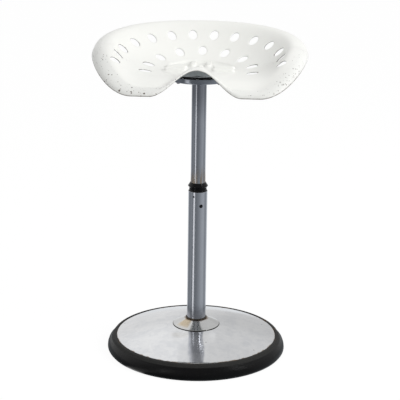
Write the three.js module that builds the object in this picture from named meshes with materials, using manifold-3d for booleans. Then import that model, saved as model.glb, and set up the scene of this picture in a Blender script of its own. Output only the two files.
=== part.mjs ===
// Tractor seat stool: a pressed sheet-steel seat that swivels on a telescopic column over a weighted base.
// Millimetres, +Z up, origin on the column's axis at floor level, the sitter's front towards -Y.
import * as THREE from 'three';
import { mergeVertices } from 'three/addons/utils/BufferGeometryUtils.js';
import Module from 'manifold-3d';

const wasm = await Module();
wasm.setup();

// Clearances
const restGap = 0.3; // between faces that rest on each other
const runningGap = 0.3; // round whatever slides or turns
const holeGap = 0.3; // round a bolt or pin in its hole
const punchOverrun = 5; // how far a cutter runs past what it cuts

// Rubber rim
const rimRadius = 200;
const rimBulgeHeight = 6;
const rimBulge = 1;
const rimShoulderInset = 10;
const rimShoulderHeight = 28;
const rimWallThickness = 34.7;
const rimLipReach = 20.7;
const rimLipWidth = 7;
const rimLipRise = 0.6;
const rimFootChamfer = 5;
const rimLedgeWidth = 15.3;
const rimLedgeHeight = 10;

// Cast-iron ballast
const ballastThickness = 16;
const ballastChamfer = 2;
const ballastBossRadius = 32;
const ballastBossHeight = 14;
const ballastBossTaper = 4;
const ballastPocketRadius = 20;
const ballastPocketDepth = 12;

// Chromed cover
const coverEdgeHeight = 33.6;
const coverThickness = 1.2;
const coverDomeRadius = 634;

// Outer tube and its cross holes
const outerTubeRadius = 21.2;
const outerTubeWall = 2;
const outerTubeLength = 330.4;
const pinHoleRadius = 1.8;
const pinHoleDrop = 10;
const pinHoleAngle = -112;
const lugHoleRadius = 4;
const lugHoleDrop = 31;
const lugHoleAngle = -66.5;

// Foot of the column
const socketLength = 22;
const baseBoltRadius = 5;
const baseBoltHeadRadius = 9.2;
const baseBoltHeadHeight = 6.4;
const baseBoltShyOfTop = 2;
const baseWasherRadius = 14;
const baseWasherThickness = 2;

// Chromed cone at the column's foot and its gasket
const coneFootRadius = 51.7;
const coneTopRadius = 25.3;
const coneHeight = 14.5;
const coneThickness = 1.4;
const gasketThickness = 2.2;
const gasketInset = 1.6;

// Plastic guide sleeve in the top of the outer tube
const sleeveDepth = 51;
const sleeveFlangeRadius = 20.4;
const sleeveFlangeThickness = 2.4;
const sleeveWaistRadius = 19.3;
const sleeveWaistHeight = 4.6;
const sleeveNeckRadius = 18;
const sleeveNeckHeight = 6;
const pinRadius = 1.5;
const pinReachInward = 2.9;
const pinSunk = 0.2;
const lugRootDepth = 1.6;

// Twist collar on the sleeve's neck
const clampFootRadius = 19.7;
const clampLipRadius = 22;
const clampLipRise = 4;
const clampTopRise = 11.6;
const clampLipFlat = 0.5;
const clampTopWall = 0.8;

// Inner tube and the guide on its foot
const innerTubeRadius = 16.3;
const innerTubeWall = 1.8;
const innerTubeLength = 345;
const innerTubeInsertion = 96;
const footGuideLength = 12;
const footGuideLift = 3;
const footPinRadius = 1.5;
const footPinSunk = 0.4;
const footPinReachInward = 1;

// Swivel: dish, races, cage and balls
const dishRadius = 70;
const dishHeight = 11.4;
const dishThickness = 1.5;
const dishCorner = 5;
const raceFlangeThickness = 2.2;
const raceInnerRadius = 43;
const raceOuterRadius = 66.5;
const raceShoulderRadius = 54.6;
const raceShoulderHeight = 4.6;
const ballTrackRadius = 60;
const ballRadius = 4;
const ballCount = 12;
const ballGap = 0.35;
const trackDepth = 1;
const cageThickness = 1.2;
const cageOverhang = 1.4;
const upperRaceBackThickness = 3.2;

// Top plate under the seat
const topPlateRadius = 70;
const topPlateThickness = 1.9;
const topPlateChamfer = 0.6;

// Fasteners of the swivel, through the dish and the lower race
const raceBoltCount = 4;
const raceBoltCircle = 49.6;
const raceBoltAngle = 28;
const raceBoltRadius = 3;
const raceBoltHeadRadius = 4.5;
const raceBoltHeadHeight = 2.4;
const raceNutAcrossCorners = 10.4;
const raceNutHeight = 4.8;
const raceBoltTail = 1.6;

// Fasteners of the seat, through the seat and the top plate
const seatBoltCount = 4;
const seatBoltCircle = 32;
const seatBoltRadius = 3;
const seatBoltHeadRadius = 6;
const seatBoltHeadHeight = 3;
const seatNutAcrossCorners = 10.4;
const seatNutHeight = 3.6;
const seatBoltTail = 1;

// Seat shell, heights from the flat pad that is bolted down
const sheetThickness = 2;
const seatHalfWidth = 233;
const seatBackReach = 200;
const seatLobeReach = 151.5;
const seatNotchReach = 95;
const seatWidestAt = 16;
const lobeMiddle = 132;
const notchHalfWidth = 96.5;
const backSquareness = 2.02;
const crestHeightBack = 78.5;
const crestHeightSide = 52.5;
const crestHeightLobe = -16;
const crestHeightNotch = 21;
const crestFallPower = 2.45;
const lipWidthBack = 22;
const lipWidthSide = 30;
const lipWidthLobe = 29;
const lipWidthNotch = 16;
const lipDropBack = 14;
const lipDropSide = 22.5;
const lipDropLobe = 15.5;
const lipDropNotch = 6;
const bowlStartRadius = 50;
const bowlFootFullnessBack = 0.55;
const bowlFootFullnessSide = 0.91;
const bowlBrowFullnessBack = 0.16;
const bowlBrowFullnessSide = 0.21;
const hollowDepth = 4;
const hollowAcross = 118;
const hollowForward = 42;
const hollowSpread = 46;
const padRadius = 80;
const padToCrest = 10;
const padStepWidth = 6;
const ribHeight = 5;
const ribStart = 26;
const ribEndInset = 3;
const ribOffset = 17;
const ribHalfWidth = 8;
const ribBevel = 3;

// Perforations, in two horseshoe rows
const slotHalfWidth = 9.5;
const slotHalfLength = 13;
const rowInsetSide = 58;
const rowInsetBack = 54.5;
const outerRowCount = 14;
const outerRowPitch = 48;
const rowSpacingSide = 61;
const rowSpacingBack = 33;
const innerRowCount = 9;
const innerRowPitch = 52;

// Fineness of the facets
const wideSegments = 48;
const dishSegments = 30;
const tubeSegments = 24;
const smallSegments = 8;

// Radii and heights that follow from the sizes above
const rimWallRadius = rimRadius - rimWallThickness;
const rimLipRadius = rimRadius - rimLipReach;
const ballastRadius = rimWallRadius - restGap;
const coverRadius = rimLipRadius - restGap;
const ballastFoot = rimLedgeHeight + restGap;
const ballastTop = ballastFoot + ballastThickness;
const outerTubeFoot = ballastTop + ballastBossHeight + restGap;
const outerTubeTop = outerTubeFoot + outerTubeLength;
const outerTubeBore = outerTubeRadius - outerTubeWall;
const sleeveShelf = outerTubeTop + restGap;
const sleeveShoulder = sleeveShelf + sleeveFlangeThickness + sleeveWaistHeight;
const sleeveTop = sleeveShoulder + sleeveNeckHeight;
const clampFoot = sleeveShoulder + restGap;
const innerTubeFoot = outerTubeTop - innerTubeInsertion;
const innerTubeTop = innerTubeFoot + innerTubeLength;
const dishFoot = innerTubeTop + restGap;
const dishFloor = dishFoot + dishThickness;
const lowerRaceFoot = dishFloor + restGap;
const ballCentre = lowerRaceFoot + raceShoulderHeight - trackDepth + ballRadius + ballGap;
const upperRaceFoot = ballCentre + ballRadius + ballGap - trackDepth;
const upperRaceTop = upperRaceFoot + upperRaceBackThickness;
const topPlateFoot = upperRaceTop + restGap;
const topPlateTop = topPlateFoot + topPlateThickness;
const padTop = topPlateTop + restGap + sheetThickness;

const chrome = { color: 0xc9ccd0, roughness: 0.16, metalness: 1 };
const blackPlastic = { color: 0x161616, roughness: 0.35, metalness: 0 };
const rubber = { color: 0x1d1e1f, roughness: 0.45, metalness: 0 };
const castIron = { color: 0x4a4a4c, roughness: 0.8, metalness: 0.6 };
const darkSteel = { color: 0x2e2f31, roughness: 0.5, metalness: 0.9 };
const ballSteel = { color: 0xb4b6b8, roughness: 0.2, metalness: 1 };
const greySteel = { color: 0x7a8082, roughness: 0.45, metalness: 0.5 };
const whiteEnamel = { color: 0xf1f0e8, roughness: 0.3, metalness: 0 };
const zincSteel = { color: 0x8e9092, roughness: 0.4, metalness: 0.9 };

const stool = new THREE.Group();

function addPiece(name, geometry, finish) {
  const piece = new THREE.Mesh(geometry, new THREE.MeshStandardMaterial(finish));
  piece.name = name;
  stool.add(piece);
  return piece;
}

const degrees = THREE.MathUtils.degToRad;

// A closed profile of [radius, height] points turned round the Z axis
function revolve(profile, segments) {
  const points = profile.map(([radius, height]) => new THREE.Vector2(radius, height));
  const onAxis = profile[0][0] === 0 && profile[profile.length - 1][0] === 0;
  if (!onAxis) {
    points.push(points[0].clone());
  }
  return new THREE.LatheGeometry(points, segments).rotateX(Math.PI / 2);
}

// Profile points on an arc of a circle, angles in degrees from the outward radius
function arc(centreRadius, centreHeight, radius, from, to, steps) {
  return Array.from({ length: steps + 1 }, (_, i) => {
    const angle = degrees(from + ((to - from) * i) / steps);
    return [centreRadius + radius * Math.cos(angle), centreHeight + radius * Math.sin(angle)];
  });
}

function ring(innerRadius, outerRadius, foot, top, segments) {
  return revolve([[innerRadius, foot], [outerRadius, foot], [outerRadius, top], [innerRadius, top]], segments);
}

function disc(radius, foot, top, segments) {
  return revolve([[0, foot], [radius, foot], [radius, top], [0, top]], segments);
}

function solidOf(geometry) {
  const bare = geometry.index ? geometry.toNonIndexed() : geometry.clone();
  for (const name of Object.keys(bare.attributes)) {
    if (name !== 'position') {
      bare.deleteAttribute(name);
    }
  }
  const merged = mergeVertices(bare, 1e-4);
  return new wasm.Manifold(new wasm.Mesh({
    numProp: 3,
    vertProperties: new Float32Array(merged.attributes.position.array),
    triVerts: new Uint32Array(merged.index.array),
  }));
}

function geometryOf(solid) {
  const mesh = solid.getMesh();
  const geometry = new THREE.BufferGeometry();
  geometry.setAttribute('position', new THREE.BufferAttribute(new Float32Array(mesh.vertProperties), 3));
  geometry.setIndex(new THREE.BufferAttribute(new Uint32Array(mesh.triVerts), 1));
  return geometry;
}

function cut(geometry, tools) {
  let solid = solidOf(geometry);
  for (const tool of tools) {
    solid = solid.subtract(solidOf(tool));
  }
  return geometryOf(solid);
}

// A round bar that points outwards from the column's axis at a height and an angle
function spoke(radius, from, to, height, angle) {
  const bar = new THREE.CylinderGeometry(radius, radius, to - from, smallSegments);
  bar.translate(0, (from + to) / 2, 0);
  bar.rotateZ(-Math.PI / 2);
  return bar.rotateZ(degrees(angle)).translate(0, 0, height);
}

// An upright round bar at a place on a bolt circle
function post(radius, foot, top, circle, angle, segments = smallSegments) {
  return disc(radius, foot, top, segments)
    .translate(circle * Math.cos(degrees(angle)), circle * Math.sin(degrees(angle)), 0);
}

// Rubber rim: a flat foot, a ledge for the ballast, a bulged side and a lip round the cover's edge
function makeRim() {
  const lipTop = coverEdgeHeight + coverThickness + rimLipRise;
  const footRadius = rimWallRadius - rimLedgeWidth;
  const bulge = new THREE.QuadraticBezierCurve(
    new THREE.Vector2(rimRadius, rimBulgeHeight),
    new THREE.Vector2(rimRadius - rimBulge, (rimBulgeHeight + rimShoulderHeight) / 2),
    new THREE.Vector2(rimRadius - rimShoulderInset, rimShoulderHeight),
  ).getPoints(2).map((point) => [point.x, point.y]);
  return revolve([
    [footRadius, 0],
    [rimRadius - rimFootChamfer, 0],
    ...bulge,
    [rimLipRadius + rimLipWidth, lipTop - rimLipRise],
    [rimLipRadius + 2 * rimLipRise, lipTop],
    [rimLipRadius, lipTop - rimLipRise],
    [rimLipRadius, coverEdgeHeight - restGap],
    [rimWallRadius, coverEdgeHeight - restGap],
    [rimWallRadius, rimLedgeHeight],
    [footRadius, rimLedgeHeight],
  ], wideSegments);
}
addPiece('base_rim', makeRim(), rubber);

// Ballast: a thick disc with a boss under the tube and a pocket for the bolt's head
function makeBallast() {
  const bossTop = ballastTop + ballastBossHeight;
  const boltHole = baseBoltRadius + holeGap;
  return revolve([
    [ballastPocketRadius, ballastFoot],
    [ballastRadius, ballastFoot],
    [ballastRadius, ballastTop - ballastChamfer],
    [ballastRadius - ballastChamfer, ballastTop],
    [ballastBossRadius + ballastBossTaper, ballastTop],
    [ballastBossRadius, bossTop],
    [boltHole, bossTop],
    [boltHole, ballastFoot + ballastPocketDepth],
    [ballastPocketRadius, ballastFoot + ballastPocketDepth],
  ], tubeSegments);
}
addPiece('base_ballast', makeBallast(), castIron);

function domeHeight(radius) {
  const edge = Math.sqrt(coverDomeRadius ** 2 - coverRadius ** 2);
  return coverEdgeHeight + coverThickness + Math.sqrt(coverDomeRadius ** 2 - radius ** 2) - edge;
}

// Cover: one domed sheet with a hole for the tube
function makeCover() {
  const steps = 4;
  const hole = outerTubeRadius + holeGap;
  const radii = Array.from({ length: steps + 1 }, (_, i) => coverRadius + ((hole - coverRadius) * i) / steps);
  const outside = radii.map((radius) => [radius, domeHeight(radius)]);
  const inside = radii.map((radius) => [radius, domeHeight(radius) - coverThickness]).reverse();
  return revolve([...inside, ...outside], wideSegments);
}
addPiece('base_cover', makeCover(), chrome);

const coneFoot = domeHeight(coneFootRadius) + restGap;
const coneTop = coneFoot + coneHeight;

// Cone: a spun trim that hides the hole in the cover
function makeCone() {
  const bore = outerTubeRadius + holeGap;
  return revolve([
    [coneFootRadius - 2 * coneThickness, coneFoot],
    [coneFootRadius, coneFoot],
    [coneFootRadius, coneFoot + coneThickness],
    [coneTopRadius, coneTop],
    [bore, coneTop],
    [bore, coneTop - coneThickness],
    [coneTopRadius - coneThickness, coneTop - coneThickness],
  ], tubeSegments);
}
addPiece('column_collar', makeCone(), chrome);
addPiece('collar_gasket', ring(
  outerTubeRadius + holeGap,
  coneTopRadius - gasketInset,
  coneTop + restGap,
  coneTop + restGap + gasketThickness,
  tubeSegments,
), blackPlastic);

// Foot of the column: a plug in the tube, held down by a bolt from below
function makeSocket() {
  const boltHole = baseBoltRadius + holeGap;
  return ring(boltHole, outerTubeBore - restGap, outerTubeFoot, outerTubeFoot + socketLength, tubeSegments);
}
addPiece('column_socket', makeSocket(), zincSteel);

const washerTop = ballastFoot + ballastPocketDepth - restGap;
const washerFoot = washerTop - baseWasherThickness;
addPiece('base_washer', ring(
  baseBoltRadius + holeGap, baseWasherRadius, washerFoot, washerTop, tubeSegments,
), zincSteel);

function makeBaseBolt() {
  const headTop = washerFoot - restGap;
  const shank = disc(baseBoltRadius, headTop, outerTubeFoot + socketLength - baseBoltShyOfTop, smallSegments);
  const head = disc(baseBoltHeadRadius, headTop - baseBoltHeadHeight, headTop, 6);
  return geometryOf(solidOf(shank).add(solidOf(head)));
}
addPiece('base_bolt', makeBaseBolt(), zincSteel);

// Outer tube with the pin hole and the lug hole
const pinHeight = outerTubeTop - pinHoleDrop;
const lugHeight = outerTubeTop - lugHoleDrop;
function makeOuterTube() {
  const tube = ring(outerTubeBore, outerTubeRadius, outerTubeFoot, outerTubeTop, tubeSegments);
  const beyond = outerTubeRadius + punchOverrun;
  const within = outerTubeBore - punchOverrun;
  return cut(tube, [
    spoke(pinHoleRadius, within, beyond, pinHeight, pinHoleAngle),
    spoke(lugHoleRadius, within, beyond, lugHeight, lugHoleAngle),
  ]);
}
addPiece('outer_tube', makeOuterTube(), chrome);

// Sleeve: a bush with a flange on the tube, a waist, a neck for the twist collar and a snap lug
const sleeveBore = innerTubeRadius + runningGap;
function makeSleeve() {
  const sleeveRadius = outerTubeBore - restGap;
  const bush = revolve([
    [sleeveBore, outerTubeTop - sleeveDepth],
    [sleeveRadius, outerTubeTop - sleeveDepth],
    [sleeveRadius, sleeveShelf],
    [sleeveFlangeRadius, sleeveShelf],
    [sleeveFlangeRadius, sleeveShelf + sleeveFlangeThickness * 0.5],
    [sleeveWaistRadius, sleeveShelf + sleeveFlangeThickness],
    [sleeveWaistRadius, sleeveShoulder],
    [sleeveNeckRadius, sleeveShoulder],
    [sleeveNeckRadius, sleeveTop],
    [sleeveBore, sleeveTop],
  ], tubeSegments);
  const lug = spoke(
    lugHoleRadius - holeGap, outerTubeBore - lugRootDepth, outerTubeRadius - pinSunk, lugHeight, lugHoleAngle,
  );
  const pinSeat = spoke(
    pinRadius + holeGap,
    outerTubeBore - pinReachInward,
    outerTubeBore + punchOverrun,
    pinHeight,
    pinHoleAngle,
  );
  return geometryOf(solidOf(bush).add(solidOf(lug)).subtract(solidOf(pinSeat)));
}
addPiece('guide_sleeve', makeSleeve(), blackPlastic);
addPiece('sleeve_pin', spoke(
  pinRadius,
  outerTubeBore - pinReachInward + holeGap,
  outerTubeRadius - pinSunk,
  pinHeight,
  pinHoleAngle,
), darkSteel);

// Twist collar: a sharp lip and a cone that closes on the inner tube
function makeClamp() {
  const neckBore = sleeveNeckRadius + runningGap;
  const step = sleeveTop + restGap;
  const top = clampFoot + clampTopRise;
  return revolve([
    [neckBore, clampFoot],
    [clampFootRadius, clampFoot],
    [clampLipRadius, clampFoot + clampLipRise],
    [clampLipRadius, clampFoot + clampLipRise + clampLipFlat],
    [sleeveBore + clampTopWall, top],
    [sleeveBore, top],
    [sleeveBore, step],
    [neckBore, step],
  ], tubeSegments);
}
addPiece('clamp_collar', makeClamp(), blackPlastic);

// Inner tube with a plastic guide pinned on its foot
const footGuideFoot = innerTubeFoot + footGuideLift;
const footGuideTop = footGuideFoot + footGuideLength;
const footPinHeight = (footGuideFoot + footGuideTop) / 2;
function footPinSpoke(radius) {
  const inner = innerTubeRadius - innerTubeWall - footPinReachInward;
  const outer = outerTubeBore - runningGap - footPinSunk;
  return spoke(radius, inner, outer, footPinHeight, 0);
}
const innerTubeBlank = ring(
  innerTubeRadius - innerTubeWall, innerTubeRadius, innerTubeFoot, innerTubeTop, tubeSegments,
);
addPiece('inner_tube', cut(innerTubeBlank, [footPinSpoke(footPinRadius + holeGap)]), chrome);
const footGuideBlank = ring(
  innerTubeRadius + restGap, outerTubeBore - runningGap, footGuideFoot, footGuideTop, tubeSegments,
);
const footPinHole = spoke(
  footPinRadius + holeGap, innerTubeRadius - innerTubeWall, outerTubeRadius, footPinHeight, 0,
);
addPiece('foot_guide', cut(footGuideBlank, [footPinHole]), blackPlastic);
addPiece('foot_guide_pin', footPinSpoke(footPinRadius), zincSteel);

const raceBoltAngles = Array.from({ length: raceBoltCount }, (_, i) => {
  const quarter = 90 * i;
  return i % 2 === 0 ? quarter + raceBoltAngle : quarter + 90 - raceBoltAngle;
});
const seatBoltAngles = Array.from({ length: seatBoltCount }, (_, i) => (360 * i) / seatBoltCount);

// Dish: a shallow spun pan on the inner tube's top
function makeDish() {
  const floorRadius = dishRadius - dishCorner;
  const corner = dishCorner;
  const innerCorner = dishCorner - dishThickness;
  const pan = revolve([
    [0, dishFoot],
    ...arc(floorRadius, dishFoot + corner, corner, -90, 0, 2),
    [dishRadius, dishFoot + dishHeight],
    [dishRadius - dishThickness, dishFoot + dishHeight],
    ...arc(floorRadius, dishFoot + corner, innerCorner, 0, -90, 2),
    [0, dishFloor],
  ], dishSegments);
  return cut(pan, raceBoltAngles.map((angle) => (
    post(raceBoltRadius + holeGap, dishFoot - punchOverrun, dishFloor + punchOverrun, raceBoltCircle, angle)
  )));
}
addPiece('swivel_dish', makeDish(), chrome);

const trackRadius = ballRadius + ballGap;
const trackHalfAngle = (Math.acos((trackRadius - trackDepth) / trackRadius) * 180) / Math.PI;

// Lower race: a bolted flange with a raised shoulder that carries the ball track
function makeLowerRace() {
  const shoulderTop = lowerRaceFoot + raceShoulderHeight;
  const blank = revolve([
    [raceInnerRadius, lowerRaceFoot],
    [raceOuterRadius - dishCorner + dishThickness, lowerRaceFoot],
    [raceOuterRadius, lowerRaceFoot + dishCorner - dishThickness],
    [raceOuterRadius, shoulderTop],
    ...arc(ballTrackRadius, ballCentre, trackRadius, -90 + trackHalfAngle, -90 - trackHalfAngle, 3),
    [raceShoulderRadius, shoulderTop],
    [raceShoulderRadius, lowerRaceFoot + raceFlangeThickness],
    [raceInnerRadius, lowerRaceFoot + raceFlangeThickness],
  ], dishSegments);
  return cut(blank, raceBoltAngles.map((angle) => (
    post(raceBoltRadius + holeGap, dishFoot, upperRaceFoot, raceBoltCircle, angle)
  )));
}
addPiece('lower_race', makeLowerRace(), darkSteel);

// Upper race: a ring with the matching track, spot welded under the top plate
function makeUpperRace() {
  return revolve([
    [raceShoulderRadius, upperRaceTop],
    [raceShoulderRadius, upperRaceFoot],
    ...arc(ballTrackRadius, ballCentre, trackRadius, 90 + trackHalfAngle, 90 - trackHalfAngle, 3),
    [raceOuterRadius, upperRaceFoot],
    [raceOuterRadius, upperRaceTop],
  ], dishSegments);
}
addPiece('upper_race', makeUpperRace(), darkSteel);

// Cage: a flat ring with a round window for each ball
const ballAngles = Array.from({ length: ballCount }, (_, i) => (360 * i) / ballCount);
function makeCage() {
  const inner = ballTrackRadius - ballRadius - cageOverhang;
  const outer = ballTrackRadius + ballRadius + cageOverhang;
  const foot = ballCentre - cageThickness / 2;
  const top = ballCentre + cageThickness / 2;
  const sides = 8;
  const windowRadius = (ballRadius + ballGap) / Math.cos(Math.PI / sides);
  return cut(ring(inner, outer, foot, top, dishSegments), ballAngles.map((angle) => (
    post(windowRadius, foot - punchOverrun, top + punchOverrun, ballTrackRadius, angle, sides)
  )));
}
addPiece('ball_cage', makeCage(), zincSteel);

ballAngles.forEach((angle, i) => {
  const ball = new THREE.SphereGeometry(ballRadius, 8, 4).rotateX(Math.PI / 2);
  const piece = addPiece(`ball_${String(i + 1).padStart(2, '0')}`, ball, ballSteel);
  piece.position.set(
    ballTrackRadius * Math.cos(degrees(angle)), ballTrackRadius * Math.sin(degrees(angle)), ballCentre,
  );
});

raceBoltAngles.forEach((angle, i) => {
  const headFoot = lowerRaceFoot + raceFlangeThickness + restGap;
  const nutTop = dishFoot - restGap;
  const tail = nutTop - raceNutHeight - raceBoltTail;
  const shank = post(raceBoltRadius, tail, headFoot, raceBoltCircle, angle);
  const head = post(raceBoltHeadRadius, headFoot, headFoot + raceBoltHeadHeight, raceBoltCircle, angle);
  addPiece(`race_bolt_${i + 1}`, geometryOf(solidOf(shank).add(solidOf(head))), darkSteel);
  const nut = post(raceNutAcrossCorners / 2, nutTop - raceNutHeight, nutTop, raceBoltCircle, angle, 6);
  const bore = post(raceBoltRadius + holeGap, tail, nutTop + punchOverrun, raceBoltCircle, angle);
  addPiece(`race_nut_${i + 1}`, cut(nut, [bore]), darkSteel);
});

// Top plate: a flat disc between the upper race and the seat
function makeTopPlate() {
  const plate = revolve([
    [0, topPlateFoot],
    [topPlateRadius - topPlateChamfer, topPlateFoot],
    [topPlateRadius, topPlateFoot + topPlateChamfer],
    [topPlateRadius, topPlateTop - topPlateChamfer],
    [topPlateRadius - topPlateChamfer, topPlateTop],
    [0, topPlateTop],
  ], dishSegments);
  return cut(plate, seatBoltAngles.map((angle) => (
    post(
      seatBoltRadius + holeGap, topPlateFoot - punchOverrun, topPlateTop + punchOverrun, seatBoltCircle, angle,
    )
  )));
}
addPiece('top_plate', makeTopPlate(), greySteel);

seatBoltAngles.forEach((angle, i) => {
  const headFoot = padTop + restGap;
  const nutTop = topPlateFoot - restGap;
  const tail = nutTop - seatNutHeight - seatBoltTail;
  const boltProfile = [
    [0, tail],
    [seatBoltRadius, tail],
    [seatBoltRadius, headFoot],
    [seatBoltHeadRadius, headFoot],
    [seatBoltHeadRadius, headFoot + seatBoltHeadHeight * 0.3],
    [seatBoltHeadRadius * 0.7, headFoot + seatBoltHeadHeight * 0.85],
    [0, headFoot + seatBoltHeadHeight],
  ];
  const x = seatBoltCircle * Math.cos(degrees(angle));
  const y = seatBoltCircle * Math.sin(degrees(angle));
  addPiece(`seat_bolt_${i + 1}`, revolve(boltProfile, smallSegments), whiteEnamel).position.set(x, y, 0);
  const nut = disc(seatNutAcrossCorners / 2, nutTop - seatNutHeight, nutTop, 6);
  const bore = disc(seatBoltRadius + holeGap, tail - punchOverrun, nutTop + punchOverrun, smallSegments);
  addPiece(`seat_nut_${i + 1}`, cut(nut, [bore]), zincSteel).position.set(x, y, 0);
});

// Seat shell
const { lerp } = THREE.MathUtils;

function swing(share) {
  return (1 - Math.cos(Math.PI * Math.min(share, 1))) / 2;
}

// The rim's plan and height on the right half: 0 is the back's middle, 1 the side, 2 the lobe, 3 the notch
function rimAt(place) {
  if (place <= 1) {
    const turn = (place * Math.PI) / 2;
    const fall = place ** crestFallPower;
    return {
      x: seatHalfWidth * Math.sin(turn) ** (2 / backSquareness),
      y: seatWidestAt + (seatBackReach - seatWidestAt) * Math.cos(turn) ** (2 / backSquareness),
      crest: lerp(crestHeightBack, crestHeightSide, fall),
      lip: lerp(lipWidthBack, lipWidthSide, fall),
      drop: lerp(lipDropBack, lipDropSide, fall),
      foot: lerp(bowlFootFullnessBack, bowlFootFullnessSide, fall),
      brow: lerp(bowlBrowFullnessBack, bowlBrowFullnessSide, fall),
    };
  }
  if (place <= 2) {
    const turn = ((place - 1) * Math.PI) / 2;
    const fall = swing(place - 1);
    return {
      x: lobeMiddle + (seatHalfWidth - lobeMiddle) * Math.cos(turn),
      y: seatWidestAt - (seatLobeReach + seatWidestAt) * Math.sin(turn),
      crest: lerp(crestHeightSide, crestHeightLobe, fall),
      lip: lerp(lipWidthSide, lipWidthLobe, fall),
      drop: lerp(lipDropSide, lipDropLobe, fall),
      foot: bowlFootFullnessSide,
      brow: bowlBrowFullnessSide,
    };
  }
  const x = lobeMiddle * (3 - place);
  const fall = swing(x / notchHalfWidth);
  return {
    x,
    y: -seatNotchReach - (seatLobeReach - seatNotchReach) * fall,
    crest: lerp(crestHeightNotch, crestHeightLobe, fall),
    lip: lerp(lipWidthNotch, lipWidthLobe, fall),
    drop: lerp(lipDropNotch, lipDropLobe, fall),
    foot: lerp(bowlFootFullnessBack, bowlFootFullnessSide, fall),
    brow: lerp(bowlBrowFullnessBack, bowlBrowFullnessSide, fall),
  };
}

// The whole rim, round from the back's middle, denser where it bends more
function rimPlaces() {
  const stepsPerPart = [11, 10, 7];
  const right = stepsPerPart.flatMap((steps, part) => (
    Array.from({ length: steps }, (_, i) => part + i / steps)
  ));
  const rightHalf = [...right, 3].map(rimAt);
  const leftHalf = rightHalf.slice(1, -1).reverse().map((rim) => ({ ...rim, x: -rim.x }));
  return [...rightHalf, ...leftHalf];
}

function smooth(edge, width, value) {
  return THREE.MathUtils.smoothstep(value, edge - width / 2, edge + width / 2);
}

function hollowFall(x, y) {
  const across = (Math.abs(x) - hollowAcross) / hollowSpread;
  const along = (y + hollowForward) / hollowSpread;
  return hollowDepth * Math.exp(-(across ** 2 + along ** 2));
}

// The upper surface's points on one ray from the column's axis to a place on the rim
function raySection(rim) {
  const reach = Math.hypot(rim.x, rim.y);
  const crestRadius = reach - rim.lip;
  const padEdge = Math.min(padRadius, crestRadius - padToCrest);
  const bowlRun = crestRadius - bowlStartRadius;
  const bowl = new THREE.CubicBezierCurve(
    new THREE.Vector2(bowlStartRadius, 0),
    new THREE.Vector2(bowlStartRadius + rim.foot * bowlRun, 0),
    new THREE.Vector2(crestRadius - rim.brow * bowlRun, rim.crest),
    new THREE.Vector2(crestRadius, rim.crest),
  );
  const bowlHeight = (radius) => {
    if (radius <= bowlStartRadius) {
      return 0;
    }
    let low = 0;
    let high = 1;
    for (let i = 0; i < 30; i += 1) {
      const middle = (low + high) / 2;
      if (bowl.getPoint(middle).x < radius) {
        low = middle;
      } else {
        high = middle;
      }
    }
    return bowl.getPoint(low).y;
  };
  const wallStart = padEdge + padStepWidth / 2;
  const wallShares = [0, 0.28, 0.54, 0.78, 0.93];
  const wallRings = wallShares.map((share) => wallStart + (crestRadius - wallStart) * share);
  const points = [padEdge - padStepWidth / 2, ...wallRings].map((radius) => {
    const x = (rim.x * radius) / reach;
    const y = (rim.y * radius) / reach;
    const free = smooth(padEdge, padStepWidth * 0.99, radius);
    return new THREE.Vector3(x, y, (bowlHeight(radius) - hollowFall(x, y)) * free);
  });
  for (const turn of [0, 45, 90]) {
    const radius = crestRadius + rim.lip * Math.sin(degrees(turn));
    const x = (rim.x * radius) / reach;
    const y = (rim.y * radius) / reach;
    const height = rim.crest - rim.drop * (1 - Math.cos(degrees(turn))) - hollowFall(x, y);
    points.push(new THREE.Vector3(x, y, height));
  }
  return points;
}

// The pressed sheet: the upper surface, the same surface one sheet lower along its normals, and the raw edge
function makeSeatBlank() {
  const rays = rimPlaces().map(raySection);
  const rayCount = rays.length;
  const ringCount = rays[0].length;
  const normalAt = (ray, ringIndex) => {
    const around = rays[(ray + 1) % rayCount][ringIndex].clone()
      .sub(rays[(ray + rayCount - 1) % rayCount][ringIndex]);
    const inner = ringIndex === 0 ? new THREE.Vector3() : rays[ray][ringIndex - 1];
    const outer = rays[ray][Math.min(ringIndex + 1, ringCount - 1)];
    return outer.clone().sub(inner).cross(around).negate().normalize();
  };
  const positions = [new THREE.Vector3(0, 0, 0), new THREE.Vector3(0, 0, -sheetThickness)];
  rays.forEach((section, ray) => section.forEach((point, ringIndex) => {
    positions.push(point, point.clone().addScaledVector(normalAt(ray, ringIndex), -sheetThickness));
  }));
  const index = [];
  const at = (ray, ringIndex, below) => 2 + 2 * ((ray % rayCount) * ringCount + ringIndex) + below;
  const quad = (a, b, c, d) => index.push(a, b, c, a, c, d);
  for (let ray = 0; ray < rayCount; ray += 1) {
    index.push(0, at(ray + 1, 0, 0), at(ray, 0, 0));
    index.push(1, at(ray, 0, 1), at(ray + 1, 0, 1));
    for (let i = 0; i < ringCount - 1; i += 1) {
      quad(at(ray, i, 0), at(ray + 1, i, 0), at(ray + 1, i + 1, 0), at(ray, i + 1, 0));
      quad(at(ray, i + 1, 1), at(ray + 1, i + 1, 1), at(ray + 1, i, 1), at(ray, i, 1));
    }
    const last = ringCount - 1;
    quad(at(ray, last, 0), at(ray + 1, last, 0), at(ray + 1, last, 1), at(ray, last, 1));
  }
  const geometry = new THREE.BufferGeometry();
  geometry.setAttribute('position', new THREE.Float32BufferAttribute(positions.flatMap((p) => p.toArray()), 3));
  geometry.setIndex(index);
  return geometry;
}

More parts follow.
